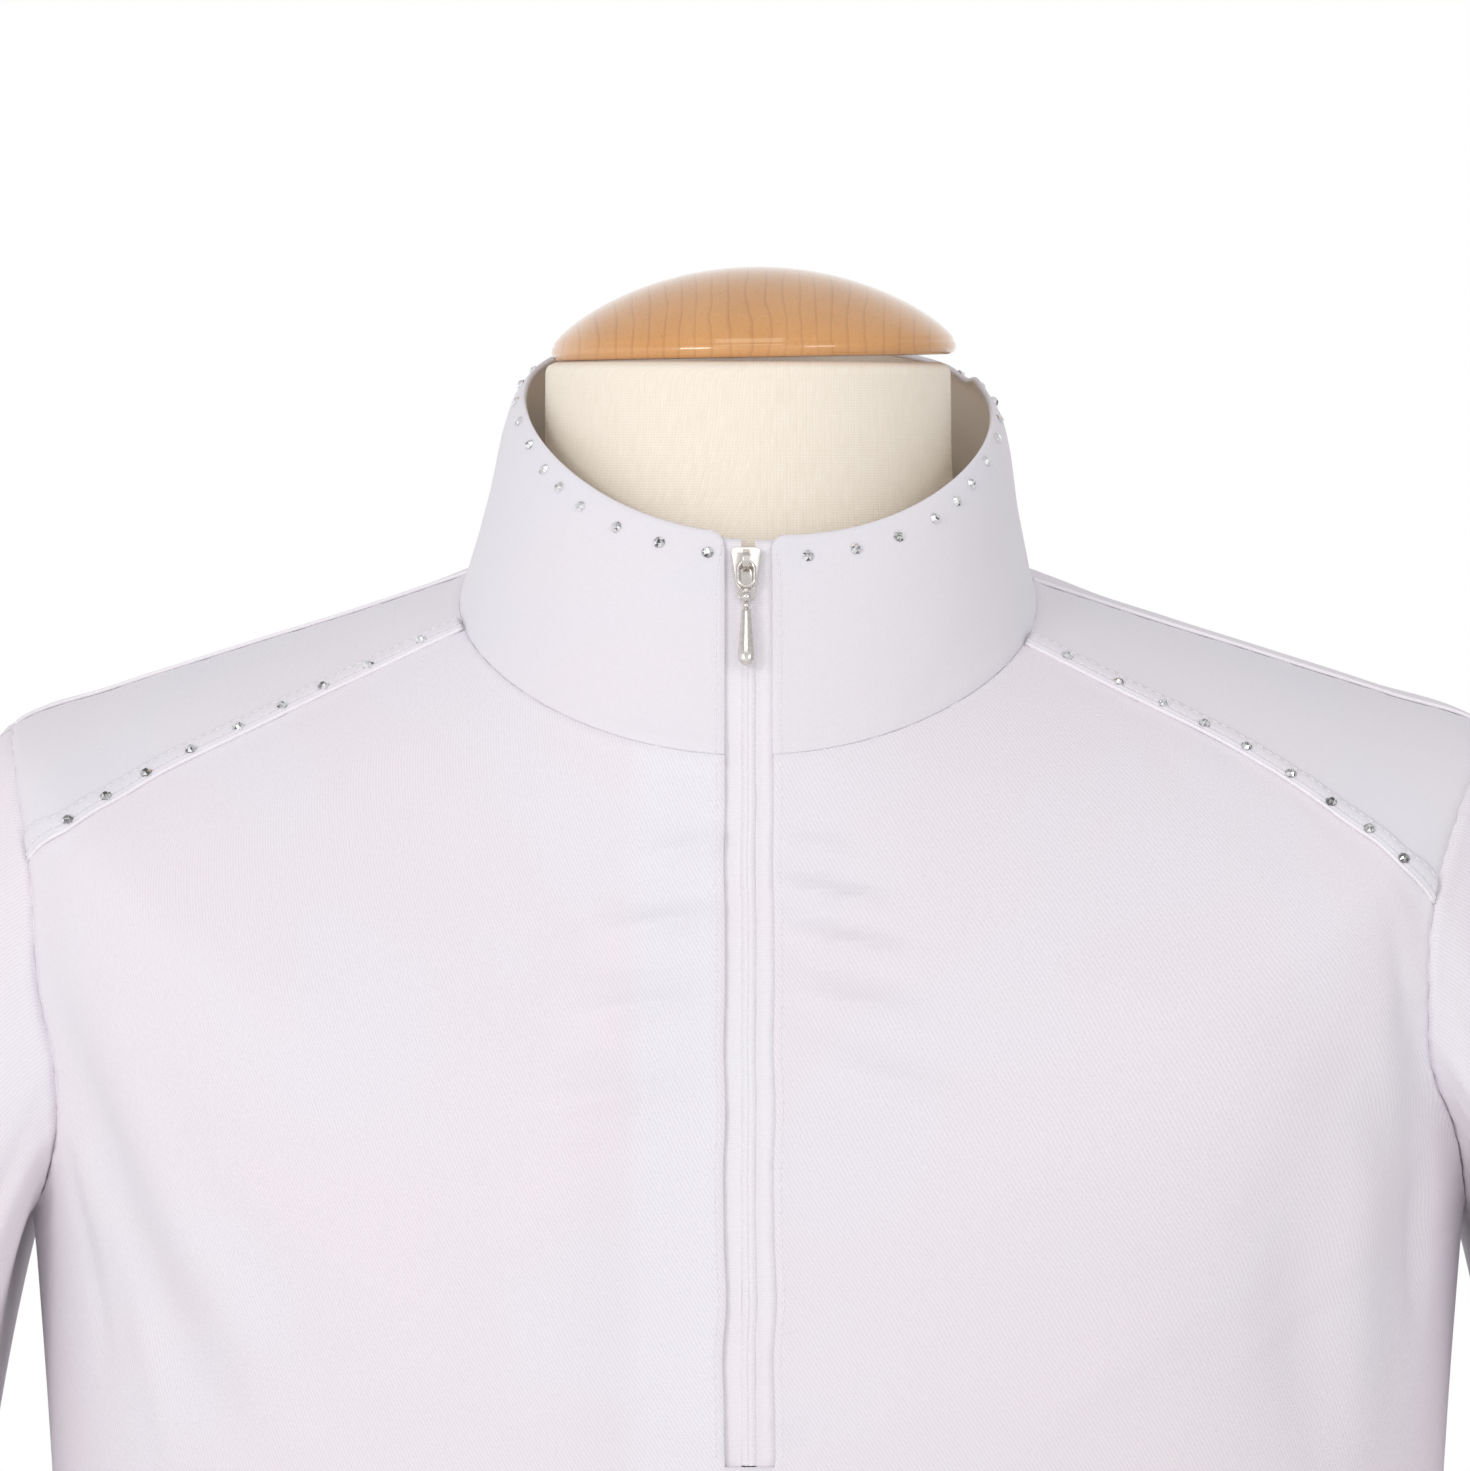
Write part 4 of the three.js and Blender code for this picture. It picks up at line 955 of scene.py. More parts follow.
# White core-spun sewing thread, lockstitched 8 to the inch: each stitch is a small bead.
SATIN_SHEEN = {"Sheen Weight": 0.3, "IOR": 1.5}
thread, *_ = speckled("thread_white_polyester", {"Roughness": 0.5, **SATIN_SHEEN}, 2500.0, 1.0, "#F6F3F7",
    "#E2DDE3")
STITCH_PITCH = 2.9
STITCH_LENGTH = 2.2
STITCH_HALF_WIDTH = 0.24
STITCH_HALF_RISE = 0.17


def add_stitches(bm, line, pitch=STITCH_PITCH, length=STITCH_LENGTH):
    """Adds a row of stitches along a line of points and facings."""
    point, out = line
    run = np.concatenate([[0], np.cumsum(np.linalg.norm(np.diff(point, axis=0), axis=1))])
    spots = np.arange(pitch / 2, run[-1] - length / 2, pitch)
    middle = np.stack([np.interp(spots, run, point[:, k]) for k in range(3)], axis=1)
    ahead = np.stack([np.interp(spots + 0.5, run, point[:, k]) for k in range(3)], axis=1)
    facing = np.stack([np.interp(spots, run, out[:, k]) for k in range(3)], axis=1)
    for at, next_at, way_out in zip(middle, ahead, facing):
        along = Vector(next_at - at).normalized()
        over = Vector(way_out).cross(along).normalized()
        turn = Matrix((along, over, along.cross(over))).transposed().to_4x4()
        size = Matrix.Diagonal((length / 2, STITCH_HALF_WIDTH, STITCH_HALF_RISE, 1))
        place = Matrix.Translation(at) @ turn @ size
        start = len(bm.verts)
        bm.from_mesh(stitch_shape)
        bm.verts.ensure_lookup_table()
        for vert in bm.verts[start:]:
            vert.co = place @ vert.co


bm = bmesh.new()
bmesh.ops.create_uvsphere(bm, u_segments=6, v_segments=4, radius=1,
    matrix=Matrix.Rotation(math.pi / 2, 4, "Y"))
stitch_shape = bpy.data.meshes.new("stitch_shape")
bm.to_mesh(stitch_shape)
bm.free()


def stitched(name, lines, **sizes):
    bm = bmesh.new()
    for line in lines:
        add_stitches(bm, line, **sizes)
    return add_piece(bm, name, thread, "shirt_twill")


slit_rows = front_rows > slit_top
slit_lines = []
for part, edge in ((slice(0, slit_left + 1), -1), (slice(slit_right, None), 1)):
    half_panel = Panel(front.point[part], front.out[part])
    name = "right" if edge < 0 else "left"
    slit_lines.append(half_panel.row_at(name, SLIT_STITCH, slit_rows))
front_stitches = stitched("front_stitches", slit_lines + front.hem_rows("bottom", HEM_WIDTH))

# ---------------------------------------------------------------- back
# The back is one piece of the same twill, from the collar seam and the shoulder seams to the
# hem, which is turned up and stitched twice.
BACK_NECK_SHARE = 0.36
SEAM_STITCH = 2.0


def back_half(side):
    def top(u):
        neck = u <= BACK_NECK_SHARE
        share = np.clip((u - BACK_NECK_SHARE) / (1 - BACK_NECK_SHARE), 0, 1)
        angle, down = shoulder_seam(side, TIP_DOWN * share)
        along_neck = mix(side * 180, shoulder_seam(side, 0.0)[0], u / BACK_NECK_SHARE)
        return np.where(neck, along_neck, angle), np.where(neck, 0, down)

    edge = side_edge(side, 360)
    return patch(left=lambda v: (side * 180 + 0 * v, HEM_DOWN * (1 - v)), right=edge,
        bottom=lambda u: (side * mix(180, 90, u), HEM_DOWN + 0 * u), top=top, middle=side * 180,
        rise=lambda v: arm_share(v) ** 2)


half = close_to_ends(60, 300, (False, True))
back_columns = np.concatenate([-half[:0:-1], half])
back_rows = np.concatenate(
    [UNDER_SHARE * close_to_ends(80, HEM_DOWN * UNDER_SHARE, (True, False)),
        mix(UNDER_SHARE, 1, close_to_ends(84, 280, (False, True)))[1:]])
u, v = np.meshgrid(back_columns, back_rows, indexing="ij")
angle, down = np.empty(u.shape), np.empty(u.shape)
for side in (-1, 1):
    columns = (u * side >= 0)[:, 0] if side > 0 else (u < 0)[:, 0]
    angle[columns], down[columns] = back_half(side)(abs(u[columns]), v[columns])
angle = angle % 360
back = Panel(*on_body(angle, down))
across = back.across
height = 0.3 * wander(across, 55, 1.9) * wander(down, 83, 0.4)
sides = np.minimum(back.away["left"], back.away["right"])
height += seam_relief(sides, down, 4.0, roll=0.25, puff=0.35, pucker=0.3)
height += seam_relief(back.away["top"], across, 5.0, roll=0.2, puff=0.3, pucker=0.2)
height += hemmed(back.away["bottom"], HEM_WIDTH)
back.lift(height)
back_cloth = cloth_piece(back, "twill_back", twill, "shirt_twill", "back")
back_stitches = stitched("back_stitches",
    back.hem_rows("bottom", HEM_WIDTH) + [back.row_at("top", SEAM_STITCH)])

# ---------------------------------------------------------------- yokes
# A yoke lies over the front of each shoulder. It is a smooth, slightly shining sateen, a shade
# greyer than the twill, and its lower edge carries a stitched trim.
sateen = woven_finish("sateen_white_polyester", "#E7E2E8", ("#E4E2E9", "#D8D2D9"), 0.55, 8, 0.035, 0.58,
    0.1)
TRIM_WIDTH = 6.5
TRIM_LIFT = 0.3
TRIM_THICK = 1.0
TRIM_OVERHANG = 0.2
TRIM_STITCH = 1.1
TRIM_LOW_STITCH = 1.9
PIPING_LOW = 0.75
PIPING_RADIUS = 0.62
PIPING_LIFT = 0.5
SHOULDER_PIPING_RADIUS = 0.6
SIDES = [("left", -1), ("right", 1)]
yoke_cloths, trims, bindings = {}, {}, {}

# The piping in the seams is a bright white satin cord, rounder and whiter than the cloth.
piping, *_ = speckled("cord_white_polyester_satin", {"Roughness": 0.45, **SATIN_SHEEN}, 1400.0, 2.0,
    "#F4F0F4", "#E9E4EA")


def cord_mesh(points, radius, cyclic=False):
    """A bmesh of a round cord through a line of points, in their own unit."""
    curve = bpy.data.curves.new("cord_line", "CURVE")
    curve.dimensions = "3D"
    curve.bevel_depth = radius
    curve.bevel_resolution = 2
    curve.use_fill_caps = not cyclic
    spline = curve.splines.new("POLY")
    spline.use_cyclic_u = cyclic
    spline.points.add(len(points) - 1)
    for spot, at in zip(spline.points, points):
        spot.co = (*at, 1)
    drawn = bpy.data.objects.new("cord_line", curve)
    shape = bpy.data.meshes.new_from_object(drawn)
    bm = bmesh.new()
    bm.from_mesh(shape)
    bmesh.ops.remove_doubles(bm, verts=bm.verts, dist=1e-4)
    bmesh.ops.recalc_face_normals(bm, faces=bm.faces)
    bpy.data.objects.remove(drawn)
    bpy.data.curves.remove(curve)
    bpy.data.meshes.remove(shape)
    return bm


def corded(name, line, radius, lift):
    """A cord of piping along a line of points and facings."""
    point, out = line
    return add_piece(cord_mesh(point + out * lift, radius), name, piping, "shirt_sateen")


# Inside every armhole and the neck seam the raw edges are bound with a narrow soft tape.
BINDING = 1.2
BINDING_LIFT = -1.32
for name, side in SIDES:
    bound = on_body(*armhole(side, np.linspace(0, 358, 180)))
    bindings[name] = corded(f"armhole_binding_{name}", bound, BINDING, BINDING_LIFT)
slit_edge = shirt_body.angle_of(SLOT_HALF, 0.0)
neck_angles = np.linspace(slit_edge + 1.5, 358.5 - slit_edge, 200)
bindings["neck"] = corded("neck_binding", on_body(neck_angles, 0 * neck_angles), BINDING, BINDING_LIFT)


def yoke_patch(side):
    return patch(left=lambda v: (mix(yoke_seam(side, 0.0)[0], shoulder_seam(side, 0.0)[0], v), 0 * v),
        right=lambda v: armhole(side, mix(YOKE_TURN, 0, v)), bottom=lambda u: yoke_seam(side, u),
        top=lambda u: shoulder_seam(side, TIP_DOWN * u))


def above_seam(side, u, distance):
    """Points and facings on a yoke at a distance above its lower seam."""
    low, high = (on_body(*yoke_patch(side)(u, share + 0 * u))[0] for share in (0.0, 0.5))
    reach = np.linalg.norm(high - low, axis=-1)
    return on_body(*yoke_patch(side)(u, distance * 0.5 / reach))


for name, side in SIDES:
    u, v = np.meshgrid(close_to_ends(64, 158), close_to_ends(30, 45), indexing="ij")
    angle, down = yoke_patch(side)(u, v)
    yoke = Panel(*on_body(angle, down))
    height = 0.12 * wander(yoke.across, 37, side) * wander(yoke.along, 23, 1.0)
    height += seam_relief(yoke.away["top"], yoke.across, 6.0, roll=0.1, puff=0.2, pucker=0.12)
    height += seam_relief(yoke.away["right"], yoke.along, 7.0, roll=0.25, puff=0.25, pucker=0.15)
    height += seam_relief(yoke.away["left"], yoke.along, 8.0, roll=0.2, puff=0.2, pucker=0.1)
    seam_top = yoke.point[:, -1], yoke.out[:, -1]
    yoke.lift(height)
    yoke_cloths[name] = cloth_piece(yoke, f"sateen_yoke_{name}", sateen, "shirt_sateen", f"yoke_{name}")

    # The trim is a folded strip, lying on the yoke. Its lower edge lies over a cord that fills the
    # seam, and its upper edge is stitched down.
    u, v = np.meshgrid(np.linspace(0.004, 0.996, 120),
        close_to_ends(18, TRIM_WIDTH, fine=(0.15, 0.4, 0.8, 1.2)), indexing="ij")
    trim = Panel(*above_seam(side, u, mix(-TRIM_OVERHANG, TRIM_WIDTH, v)))
    away = trim.away["bottom"]
    height = TRIM_LIFT + TRIM_THICK + 0.08 * wander(trim.across, 21, side)
    height = height - 0.5 * np.exp(-((away / 0.4) ** 2))
    height -= 0.2 * np.exp(-(((away - 1.7) / 0.5) ** 2))
    height += seam_relief(trim.away["top"], trim.across, 9.0, roll=0.5, puff=0.1, pucker=0.12)
    height += stitch_dip(trim.away["top"], TRIM_STITCH, 0.18)
    trim.lift(height)
    trims[name] = cloth_piece(trim, f"trim_{name}", sateen, "shirt_sateen", f"yoke_trim_{name}",
        thick=TRIM_THICK)
    trims[name + "_stitches"] = stitched(f"trim_stitches_{name}",
        [trim.row_at("top", TRIM_STITCH), trim.row_at("bottom", TRIM_LOW_STITCH)])
    low_line = above_seam(side, u[:, :1], -PIPING_LOW)
    trims[name + "_piping"] = corded(f"piping_{name}", [line[:, 0] for line in low_line], PIPING_RADIUS,
        PIPING_LIFT)
    trims[name + "_seam"] = corded(f"shoulder_piping_{name}", [line[3:-3] for line in seam_top],
        SHOULDER_PIPING_RADIUS, PIPING_LIFT)

# ---------------------------------------------------------------- collar
# The stand collar is two layers of sateen, turned at the top edge. It leans a little to the right
# and sits a little higher on the left.
COLLAR_HEIGHT = 51
COLLAR_THICK = 1.6
COLLAR_LEAN = 2.8
COLLAR_TILT = 0.037
STRAIGHTEN = 50
collar_rings = Girths(
    [
        # down, halfWidth, halfDepth, centreY, frontZ, sideZ, backZ, blunt
        [-COLLAR_HEIGHT, 65, 68.5, -6, 19.8, 55.5, 72.5, 0.9],
        [-46, 68.4, 70.5, -6.5, 14.4, 50, 67.5, 0.93],
        [-25, 73.4, 76.5, -9.5, -9, 25.5, 43, 0.98],
        [0, 79.5, 83, -13, -38.6, 0, 20, 1.0],
    ]
)


def collar_band(angle, down):
    point = collar_rings(angle, down)
    point[..., 2] += COLLAR_TILT * point[..., 0] * down / COLLAR_HEIGHT
    point[..., 0] -= COLLAR_LEAN * down / COLLAR_HEIGHT
    return point


def collar_angle_of(x, down):
    return collar_rings.angle_of(x + COLLAR_LEAN * down / COLLAR_HEIGHT, down)


on_collar = faced(collar_band)
around = mix(slit_edge, 360 - slit_edge, close_to_ends(232, 490))
share = close_to_ends(30, COLLAR_HEIGHT)
around, v = np.meshgrid(around, share, indexing="ij")
# The top edge has a small bump and a dip beside the form's neck, where it was sewn unevenly.
UNEVEN = [(106, 5, 1.7), (118, 4, -1.6)]  # angle, reach and height
uneven = sum(rise * np.exp(-(((around - at) / reach) ** 2)) for at, reach, rise in UNEVEN)
down = -COLLAR_HEIGHT * v - uneven * v**6
side = np.where(around > 180, -1, 1)
own = np.minimum(around, 360 - around) - slit_edge
edge = collar_angle_of(side * SLOT_HALF, down) - side * slit_edge
angle = around + edge * np.clip(1 - own / STRAIGHTEN, 0, 1)
collar = Panel(*on_collar(angle, down))
# The two front corners are rounded off.
CORNER = 3.5
ends = np.minimum(collar.away["left"], collar.away["right"])
past = np.clip(CORNER - ends, 0, CORNER)
drop = CORNER - np.sqrt(CORNER**2 - past**2)
down = down + drop * np.clip(1 - collar.away["top"] / 14, 0, 1)
collar = Panel(*on_collar(angle, down))
# The inner layer is a cotton lining, softer than the sateen. Its pale cream colour is painted light: a
# painted reflection of the warm light from the cream neck, and painted light for the light that shines
# through the collar onto its inside.
lining_painted_light = woven_finish("lining_cotton_painted_warm_light", "#FFF9F2", ("#FFF6EC", "#FAEEE2"), 0.5, 0, 0.03, 0.85, 0.2)
height = 0.25 * wander(collar.across, 43, 3.0) * wander(collar.along, 31, 0.6)
height += 0.5 * np.exp(-(((collar.across - 205) / 26) ** 2)) * (v**2)
height += seam_relief(collar.away["bottom"], collar.across, 2.2, roll=0, puff=0.25, pucker=0.14)
height += seam_relief(ends, collar.along, 1.4, roll=0.3, puff=0.2, pucker=0.1)
height += stitch_dip(ends, SLIT_STITCH)
height -= 0.5 * np.exp(-((collar.away["top"] / 0.5) ** 2))
collar.lift(height)
collar_height = height
collar_cloth = cloth_piece(collar, "sateen_collar", [sateen, lining_painted_light], "shirt_sateen", "collar",
    thick=COLLAR_THICK)
collar_cloth.modifiers["wall"].material_offset = 1
collar_stitches = stitched("collar_stitches",
    [collar.row_at(edge, SLIT_STITCH) for edge in ("left", "right")])

# ---------------------------------------------------------------- sleeves
# Each short sleeve is a tube of twill, set into its armhole and hemmed with two rows of
# stitches. It hangs from the shoulder, flattened by its own weight.
HEM_OUTER = (289, -4, -243)
HEM_INNER = (222, -4, -302)
HEM_HALF_DEPTH = 74
LEAVE = {"top": (96, 0, -56), "under": (24, 0, -38), "front": (56, -30, -32), "back": (56, 26, -32)}
HANG = (26, 0, -92)
SLEEVE_CREASES = [
    # turn and share along where a crease starts, the same where it ends, its reach and height
    [60, 0.05, 78, 0.7, 9, -1.8],
    [84, 0.1, 100, 0.85, 11, 1.6],
    [112, 0.15, 118, 0.8, 10, -1.6],
    [138, 0.1, 140, 0.7, 9, 1.3],
    [30, 0.1, 42, 0.6, 12, 1.0],
    [250, 0.1, 244, 0.8, 12, 1.5],
    [282, 0.1, 276, 0.8, 12, -1.4],
    [312, 0.1, 308, 0.7, 12, 1.0],
]


def sleeve(side):
    mirror = np.array([side, 1, 1])
    outer, inner, hang = (np.array(place, float) for place in (HEM_OUTER, HEM_INNER, HANG))
    leave = {key: np.array(way, float) for key, way in LEAVE.items()}

    def place(turn, t):
        s, c = np.sin(np.radians(turn))[..., None], np.cos(np.radians(turn))[..., None]
        along = np.where(c > 0, leave["top"], leave["under"]) * c * c
        along = (along + np.where(s > 0, leave["front"], leave["back"]) * s * s) * mirror
        start = draped_body(*armhole(side, turn)) - 0.2 * unit(along)
        end = ((outer + inner) / 2 + (outer - inner) / 2 * c) * mirror
        end = end + np.concatenate([0 * s, -HEM_HALF_DEPTH * s, 0 * s + NECK_POINT_Z], axis=-1)
        t = t[..., None]
        return (start * (2 * t**3 - 3 * t**2 + 1) + along * (t**3 - 2 * t**2 + t)
            + end * (3 * t**2 - 2 * t**3) + hang * mirror * (t**3 - t**2))

    return place


SLEEVE_LENGTH = 175
MM_PER_TURN = 1.6
SLEEVE_HEM = 18
for name, side in SIDES:
    turn, t = np.meshgrid(np.linspace(0, 360, 161), close_to_ends(56, SLEEVE_LENGTH), indexing="ij")
    surface = faced(sleeve(side), 0.5, 0.004)
    point, out = surface(turn, np.clip(t, 0.0041, 0.9959))
    tube = Panel(sleeve(side)(turn, t), -side * out)
    height = np.zeros(turn.shape)
    for turn_0, t_0, turn_1, t_1, reach, lift in SLEEVE_CREASES:
        x, z = (turn - turn_0) * MM_PER_TURN, (t - t_0) * SLEEVE_LENGTH
        length_x, length_z = (turn_1 - turn_0) * MM_PER_TURN, (t_1 - t_0) * SLEEVE_LENGTH
        height += ridge(x, z, length_x, length_z, reach, lift, 0.1)
    height += seam_relief(tube.away["bottom"], tube.across, 3.3 * side, roll=0.15, puff=0.6, pucker=0.3)
    height += hemmed(tube.away["top"], SLEEVE_HEM)
    ring_blend = np.minimum(np.minimum(turn, 360 - turn) / 12, 1)
    tube.lift(height * ring_blend + height.mean(axis=0) * (1 - ring_blend))
    cloth_piece(tube, f"twill_sleeve_{name}", twill, "shirt_twill",
        f"sleeve_{name}", closed=True)
    stitched(f"sleeve_stitches_{name}",
        tube.hem_rows("top", SLEEVE_HEM))

# ---------------------------------------------------------------- zip
# The zip is a fine reverse coil on woven polyester tape, sewn in behind the slit. From outside it
# shows as two flat tapes and a narrow raised rib, where the coil is sewn on.
TAPE_HALF = 13
TAPE_LIFT = -1.6
TAPE_THICK = 0.8
COIL_HALF = 2.1
COIL_LIFT = -0.6
ZIP_LOW = ZIP_END_DOWN + 9
ZIP_TOP = 1 - COLLAR_HEIGHT
SLIDER_DOWN = -41


def on_zip(x, down, lift):
    """Points behind the slit at a distance x from the middle."""

    def surface(x, down):
        body = draped_body(shirt_body.angle_of(x, np.maximum(down, 0)), np.maximum(down, 0))
        band = collar_band(collar_angle_of(x, np.minimum(down, 0)), np.minimum(down, 0))
        return np.where(down[..., None] < 0, band, body)

    point, out = faced(surface, 0.5, 4.0)(x, down)
    return point + out * lift[..., None], out


tape_finish = woven_finish("tape_white_polyester", "#EFE9EE", ("#ECEBF0", "#DAD3DA"), 0.5, 90, 0.05, 0.7,
    0.1)
for name, side in SIDES:
    x, down = np.meshgrid(side * mix(COIL_HALF - 0.3, TAPE_HALF, close_to_ends(14, 10, fine=(0.3, 0.8))),
        np.linspace(ZIP_LOW, ZIP_TOP, 190), indexing="ij")
    away = np.abs(x) - COIL_HALF
    lift = TAPE_LIFT + 0.25 * np.exp(-((away / 0.6) ** 2)) + 0.12 * wander(down, 26, side)
    point, out = on_zip(x, down, lift)
    tape = Panel(point, out)
    cloth_piece(tape, f"zip_tape_{name}_woven", tape_finish, "zip_tape", f"zip_tape_{name}",
        thick=TAPE_THICK)

# The rib: two narrow bands that meet in the middle, over coil teeth at a 1.3 mm pitch.
TOOTH = 1.3
RIB_STITCH = 1.35
coil_top = SLIDER_DOWN - 2.6
x, down = np.meshgrid(np.linspace(-COIL_HALF, COIL_HALF, 29),
    np.arange(ZIP_END_DOWN - 0.5, coil_top, -TOOTH / 4), indexing="ij")
crown = 1 - (np.abs(x) / COIL_HALF) ** 4
lift = COIL_LIFT - 0.9 + 0.8 * crown
lift -= 0.35 * np.exp(-((x / 0.22) ** 2))
lift -= 0.12 * np.exp(-(((np.abs(x) - RIB_STITCH) / 0.2) ** 2))
lift += 0.07 * np.sin(2 * np.pi * down / TOOTH + np.sign(x) * np.pi / 2) * crown
point, out = on_zip(x + 0.25 * waver(down), down, lift)
rib = Panel(point, out)
cloth_piece(rib, "zip_rib", tape_finish, "zip_coil", "zip_coil", thick=1.0)
rib_columns = [np.abs(x[:, 0] - at).argmin() for at in (-RIB_STITCH, RIB_STITCH)]
rib_lines = [(rib.point[column], rib.out[column]) for column in rib_columns]
stitched("zip_rib_stitches", rib_lines, pitch=TOOTH, length=0.8)

# ---------------------------------------------------------------- slider and pull
# The slider is a cast and nickel-plated body with an arched bail. Its pull hangs from a ring and
# has two small beads and a long drop. All of it is polished, so it mirrors the studio.
nickel, tree, shader, wear = speckled("nickel_polished",
    {"Metallic": 1.0, "Roughness": 0.14, "Base Color": linear("#E4DFDA")}, 900.0, 3.0, "#EFEBE7",
    "#C6C0BA")
polish = add_node(tree, "MapRange", {"To Min": 0.08, "To Max": 0.26}, {"Value": wear.outputs["Fac"]})
tree.links.new(polish.outputs[0], shader.inputs["Roughness"])
SHARP = 25  # degrees between two faces, over which their edge is rounded


def rounded_copy(node, radius):
    """A bmesh in millimetres of a CAD node, with its sharp edges rounded."""
    bm = bmesh.new()
    bm.from_mesh(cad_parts[node].data)
    bmesh.ops.scale(bm, vec=(1 / MM,) * 3, verts=bm.verts)
    bmesh.ops.remove_doubles(bm, verts=bm.verts, dist=1e-3)
    bmesh.ops.dissolve_limit(bm, angle_limit=math.radians(1), verts=bm.verts, edges=bm.edges)
    sharp = [e for e in bm.edges if len(e.link_faces) == 2 and e.calc_face_angle(0) > math.radians(SHARP)]
    bmesh.ops.bevel(bm, geom=sharp, offset=radius, affect="EDGES", segments=3, profile=0.5, material=-1,
        clamp_overlap=True)
    return bm


add_piece(rounded_copy("zip_slider", 0.4), "zip_slider_cast", nickel, "nickel", "zip_slider")

# The pull in the slider's own directions: aside, up along the zip, and out from it.
SLIDER_ASIDE = -0.6
BAIL_UP = 2.8
BAIL_OUT = 2.5
RING_HALF = 2.2
RING_LENGTH = 7.1
RING_WIRE = 0.5
PULL_BEADS = [(8.3, 0.8), (10.2, 1.5), (12.6, 1.0)]
DROP_OUTLINE = [
    # half width and distance below the hinge
    (0, 13.5),
    (1.0, 13.6),
    (1.3, 14.1),
    (1.35, 15),
    (1.45, 17),
    (1.65, 19.5),
    (1.85, 22),
    (2.05, 24.5),
    (2.15, 26.5),
    (2.0, 27.9),
    (1.5, 28.9),
    (0.8, 29.5),
    (0, 29.6),
]
DROP_FLAT = 0.7
spots = on_zip(np.array([SLIDER_ASIDE, 0, 0]), SLIDER_DOWN + np.array([0.0, -5, 5]), np.zeros(3))[0]
slider_up = Vector(spots[1] - spots[2]).normalized()
slider_out = Vector((1, 0, 0)).cross(slider_up)
slider_turn = Matrix(((1, 0, 0), slider_up, slider_out)).transposed().to_4x4()
slider_place = Matrix.Translation(spots[0]) @ slider_turn
hinge_place = slider_place @ Matrix.Translation((0, BAIL_UP, BAIL_OUT))
round_top = arc(0, -RING_HALF, RING_HALF, 0, 180, 12)
round_low = arc(0, RING_HALF - RING_LENGTH, RING_HALF, 180, 360, 12)
bm = cord_mesh([(x, y, 0) for x, y in round_top + round_low], RING_WIRE, cyclic=True)
for below, radius in PULL_BEADS:
    bmesh.ops.create_uvsphere(bm, u_segments=20, v_segments=12, radius=radius,
        matrix=Matrix.Translation((0, -below, 0)))
drop = spun([(radius, -below) for radius, below in DROP_OUTLINE], 32)
bmesh.ops.scale(drop, vec=(1, DROP_FLAT, 1), verts=drop.verts)
bmesh.ops.rotate(drop, matrix=Matrix.Rotation(-math.pi / 2, 3, "X"), verts=drop.verts)
drop_shape = bpy.data.meshes.new("drop_shape")
drop.to_mesh(drop_shape)
drop.free()
bm.from_mesh(drop_shape)
bmesh.ops.transform(bm, matrix=hinge_place, verts=bm.verts)
add_piece(bm, "zip_pull_drop", nickel, "nickel", "zip_pull", body="zip_pull")

# ---------------------------------------------------------------- stones
# Small foil-backed crystals are glued round the collar's top edge and along both trims. Each is
# faceted, 3.2 mm wide, and lies on the cloth.
# The metal mirrors the studio, but its base colour is painted facet by facet: pale greys are painted
# reflections and dark greys are painted shade.
crystal, tree, shader = finish_of("crystal_foil_backed_painted_reflections", {"Metallic": 1.0, "Roughness": 0.05})
shade = add_node(tree, "Attribute", {"attribute_name": "PaintedFacetReflection"})
tree.links.new(shade.outputs["Color"], shader.inputs["Base Color"])
STONE_RADIUS = 1.6
STONE_HEIGHT = 1.1
GIRDLE = 0.35
TABLE_RADIUS = 0.8
STONE_SIDES = 8
STONE_COUNT = 9
STONE_FIRST = 0.075
STONE_PITCH = {"left": 0.1, "right": 0.1015}
STONE_UP = 1.9
COLLAR_STONE_FIRST = 10
COLLAR_STONE_PITCH = 11
COLLAR_STONE_CLOSE = 4.3
TURN_BACK = 48
TURN_REACH = 9
COLLAR_STONE_DOWN = -45.3
COLLAR_STONE_RISE = 3.3
RISE_START = 40
RISE_LENGTH = 30
# The largest share of a stone's facets that are painted pale, as painted reflections.
MOST_PAINTED_GLINTS = 0.95


def collar_stone_angles():
    """Angles of the stones on one side, a pitch apart, and closer where the collar turns back."""
    angle = COLLAR_STONE_FIRST
    while angle < 180 - COLLAR_STONE_PITCH / 2:
        yield angle
        turning = math.exp(-(((angle - TURN_BACK) / TURN_REACH) ** 2))
        angle += COLLAR_STONE_PITCH - COLLAR_STONE_CLOSE * turning


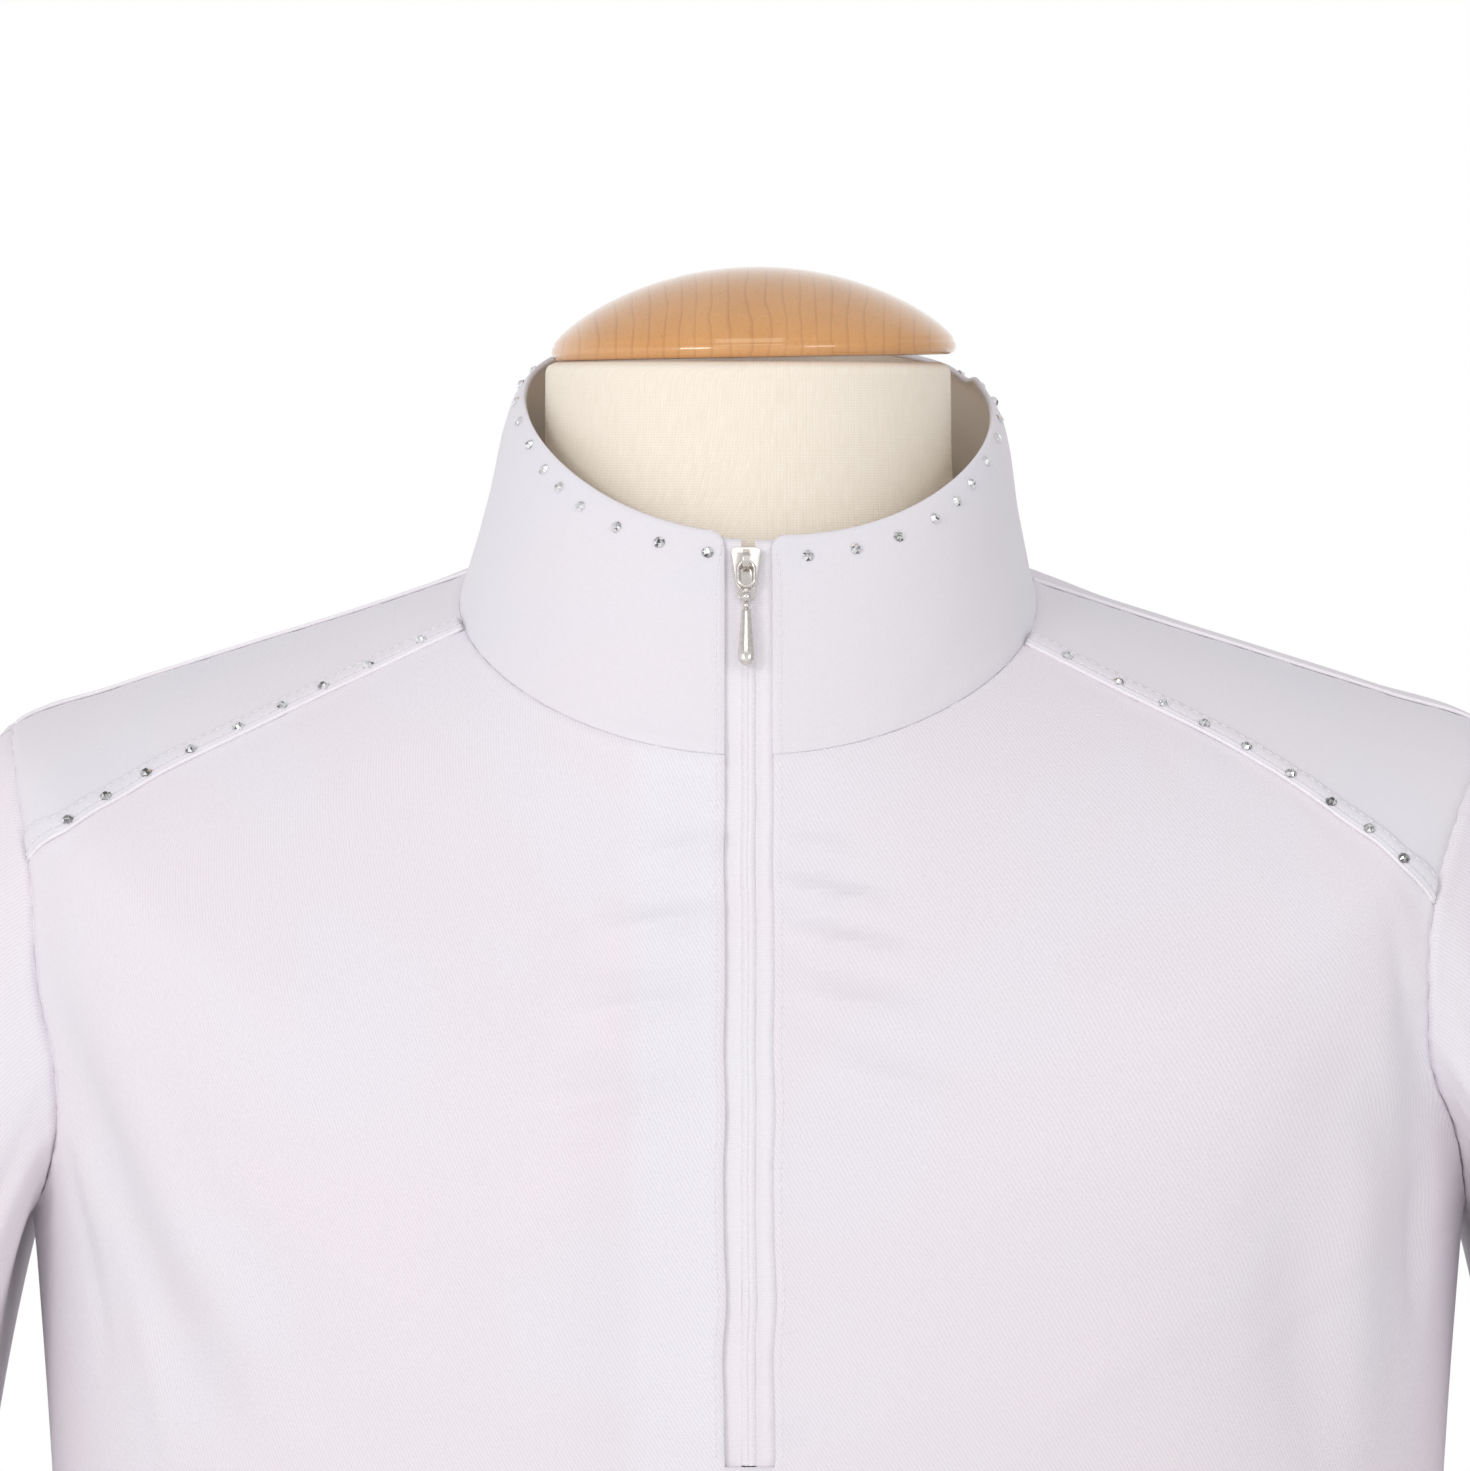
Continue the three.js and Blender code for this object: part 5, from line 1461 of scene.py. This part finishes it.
def add_stone(bm, tint, at, out, lift, chance, painted_glint_share):
    """Adds one stone that lies on the cloth at a point and faces out. Its last argument is the share
    of its facets painted pale grey as painted reflections; the rest are painted dark as painted shade."""
    up = Vector(out).normalized()
    over = up.cross(Vector((0, 0, 1))).normalized()
    facing = Matrix((over, up.cross(over), up)).transposed().to_4x4()
    place = Matrix.Translation(Vector(at) + up * lift) @ facing
    spin = Matrix.Rotation(chance.uniform(0, math.pi / 4), 4, "Z")
    half_side = Matrix.Rotation(math.pi / STONE_SIDES, 4, "Z")
    rings = []
    for radius, height, turn in ((STONE_RADIUS, 0, Matrix.Identity(4)),
            (STONE_RADIUS, GIRDLE, Matrix.Identity(4)), (TABLE_RADIUS, STONE_HEIGHT, half_side)):
        ring = bmesh.ops.create_circle(bm, cap_ends=False, segments=STONE_SIDES, radius=radius,
            matrix=place @ Matrix.Translation((0, 0, height)) @ spin @ turn)
        rings.append(ring["verts"])
    hull = bmesh.ops.convex_hull(bm, input=[v for ring in rings for v in ring])
    for face in [g for g in hull["geom"] if isinstance(g, bmesh.types.BMFace)]:
        # Each facet is painted: a pale grey as a painted reflection of the bright studio, or a dark grey
        # as painted shade.
        light = chance.random() < painted_glint_share
        painted_grey = chance.choice((0.97, 0.9, 0.8) if light else (0.5, 0.3, 0.16))
        for loop in face.loops:
            loop[tint] = (painted_grey, painted_grey, painted_grey * 1.02, 1)


chance = random.Random(7)
for name, side in SIDES:
    bm = bmesh.new()
    tint = bm.loops.layers.float_color.new("PaintedFacetReflection")
    u = STONE_FIRST + STONE_PITCH[name] * np.arange(STONE_COUNT)[:, None]
    points, outs = above_seam(side, u, STONE_UP)
    # Along each trim the stones get fewer pale facets towards the armhole: painted shade darkens them
    # there.
    for number, (at, out) in enumerate(zip(points[:, 0], outs[:, 0])):
        add_stone(bm, tint, at, out, TRIM_LIFT + TRIM_THICK, chance, MOST_PAINTED_GLINTS - 0.1 * number)
    trims[name + "_stones"] = add_piece(bm, f"trim_stones_{name}", crystal, "nickel", smooth=False)
bm = bmesh.new()
tint = bm.loops.layers.float_color.new("PaintedFacetReflection")
for _, side in SIDES:
    for angle in collar_stone_angles():
        down = COLLAR_STONE_DOWN - COLLAR_STONE_RISE * np.clip((angle - RISE_START) / RISE_LENGTH, 0, 1)
        at, out = on_collar(np.array(float(side * angle)), np.array(down))
        near = np.linalg.norm(collar.point - at, axis=-1).argmin()
        # Round the collar the stones get more pale facets towards the back: painted reflections lighten
        # them there.
        painted_glint_share = min(0.5 + angle / 120, MOST_PAINTED_GLINTS)
        add_stone(bm, tint, at, out, collar_height.flat[near], chance, painted_glint_share)
collar_stones = add_piece(bm, "collar_stones", crystal, "nickel", smooth=False)
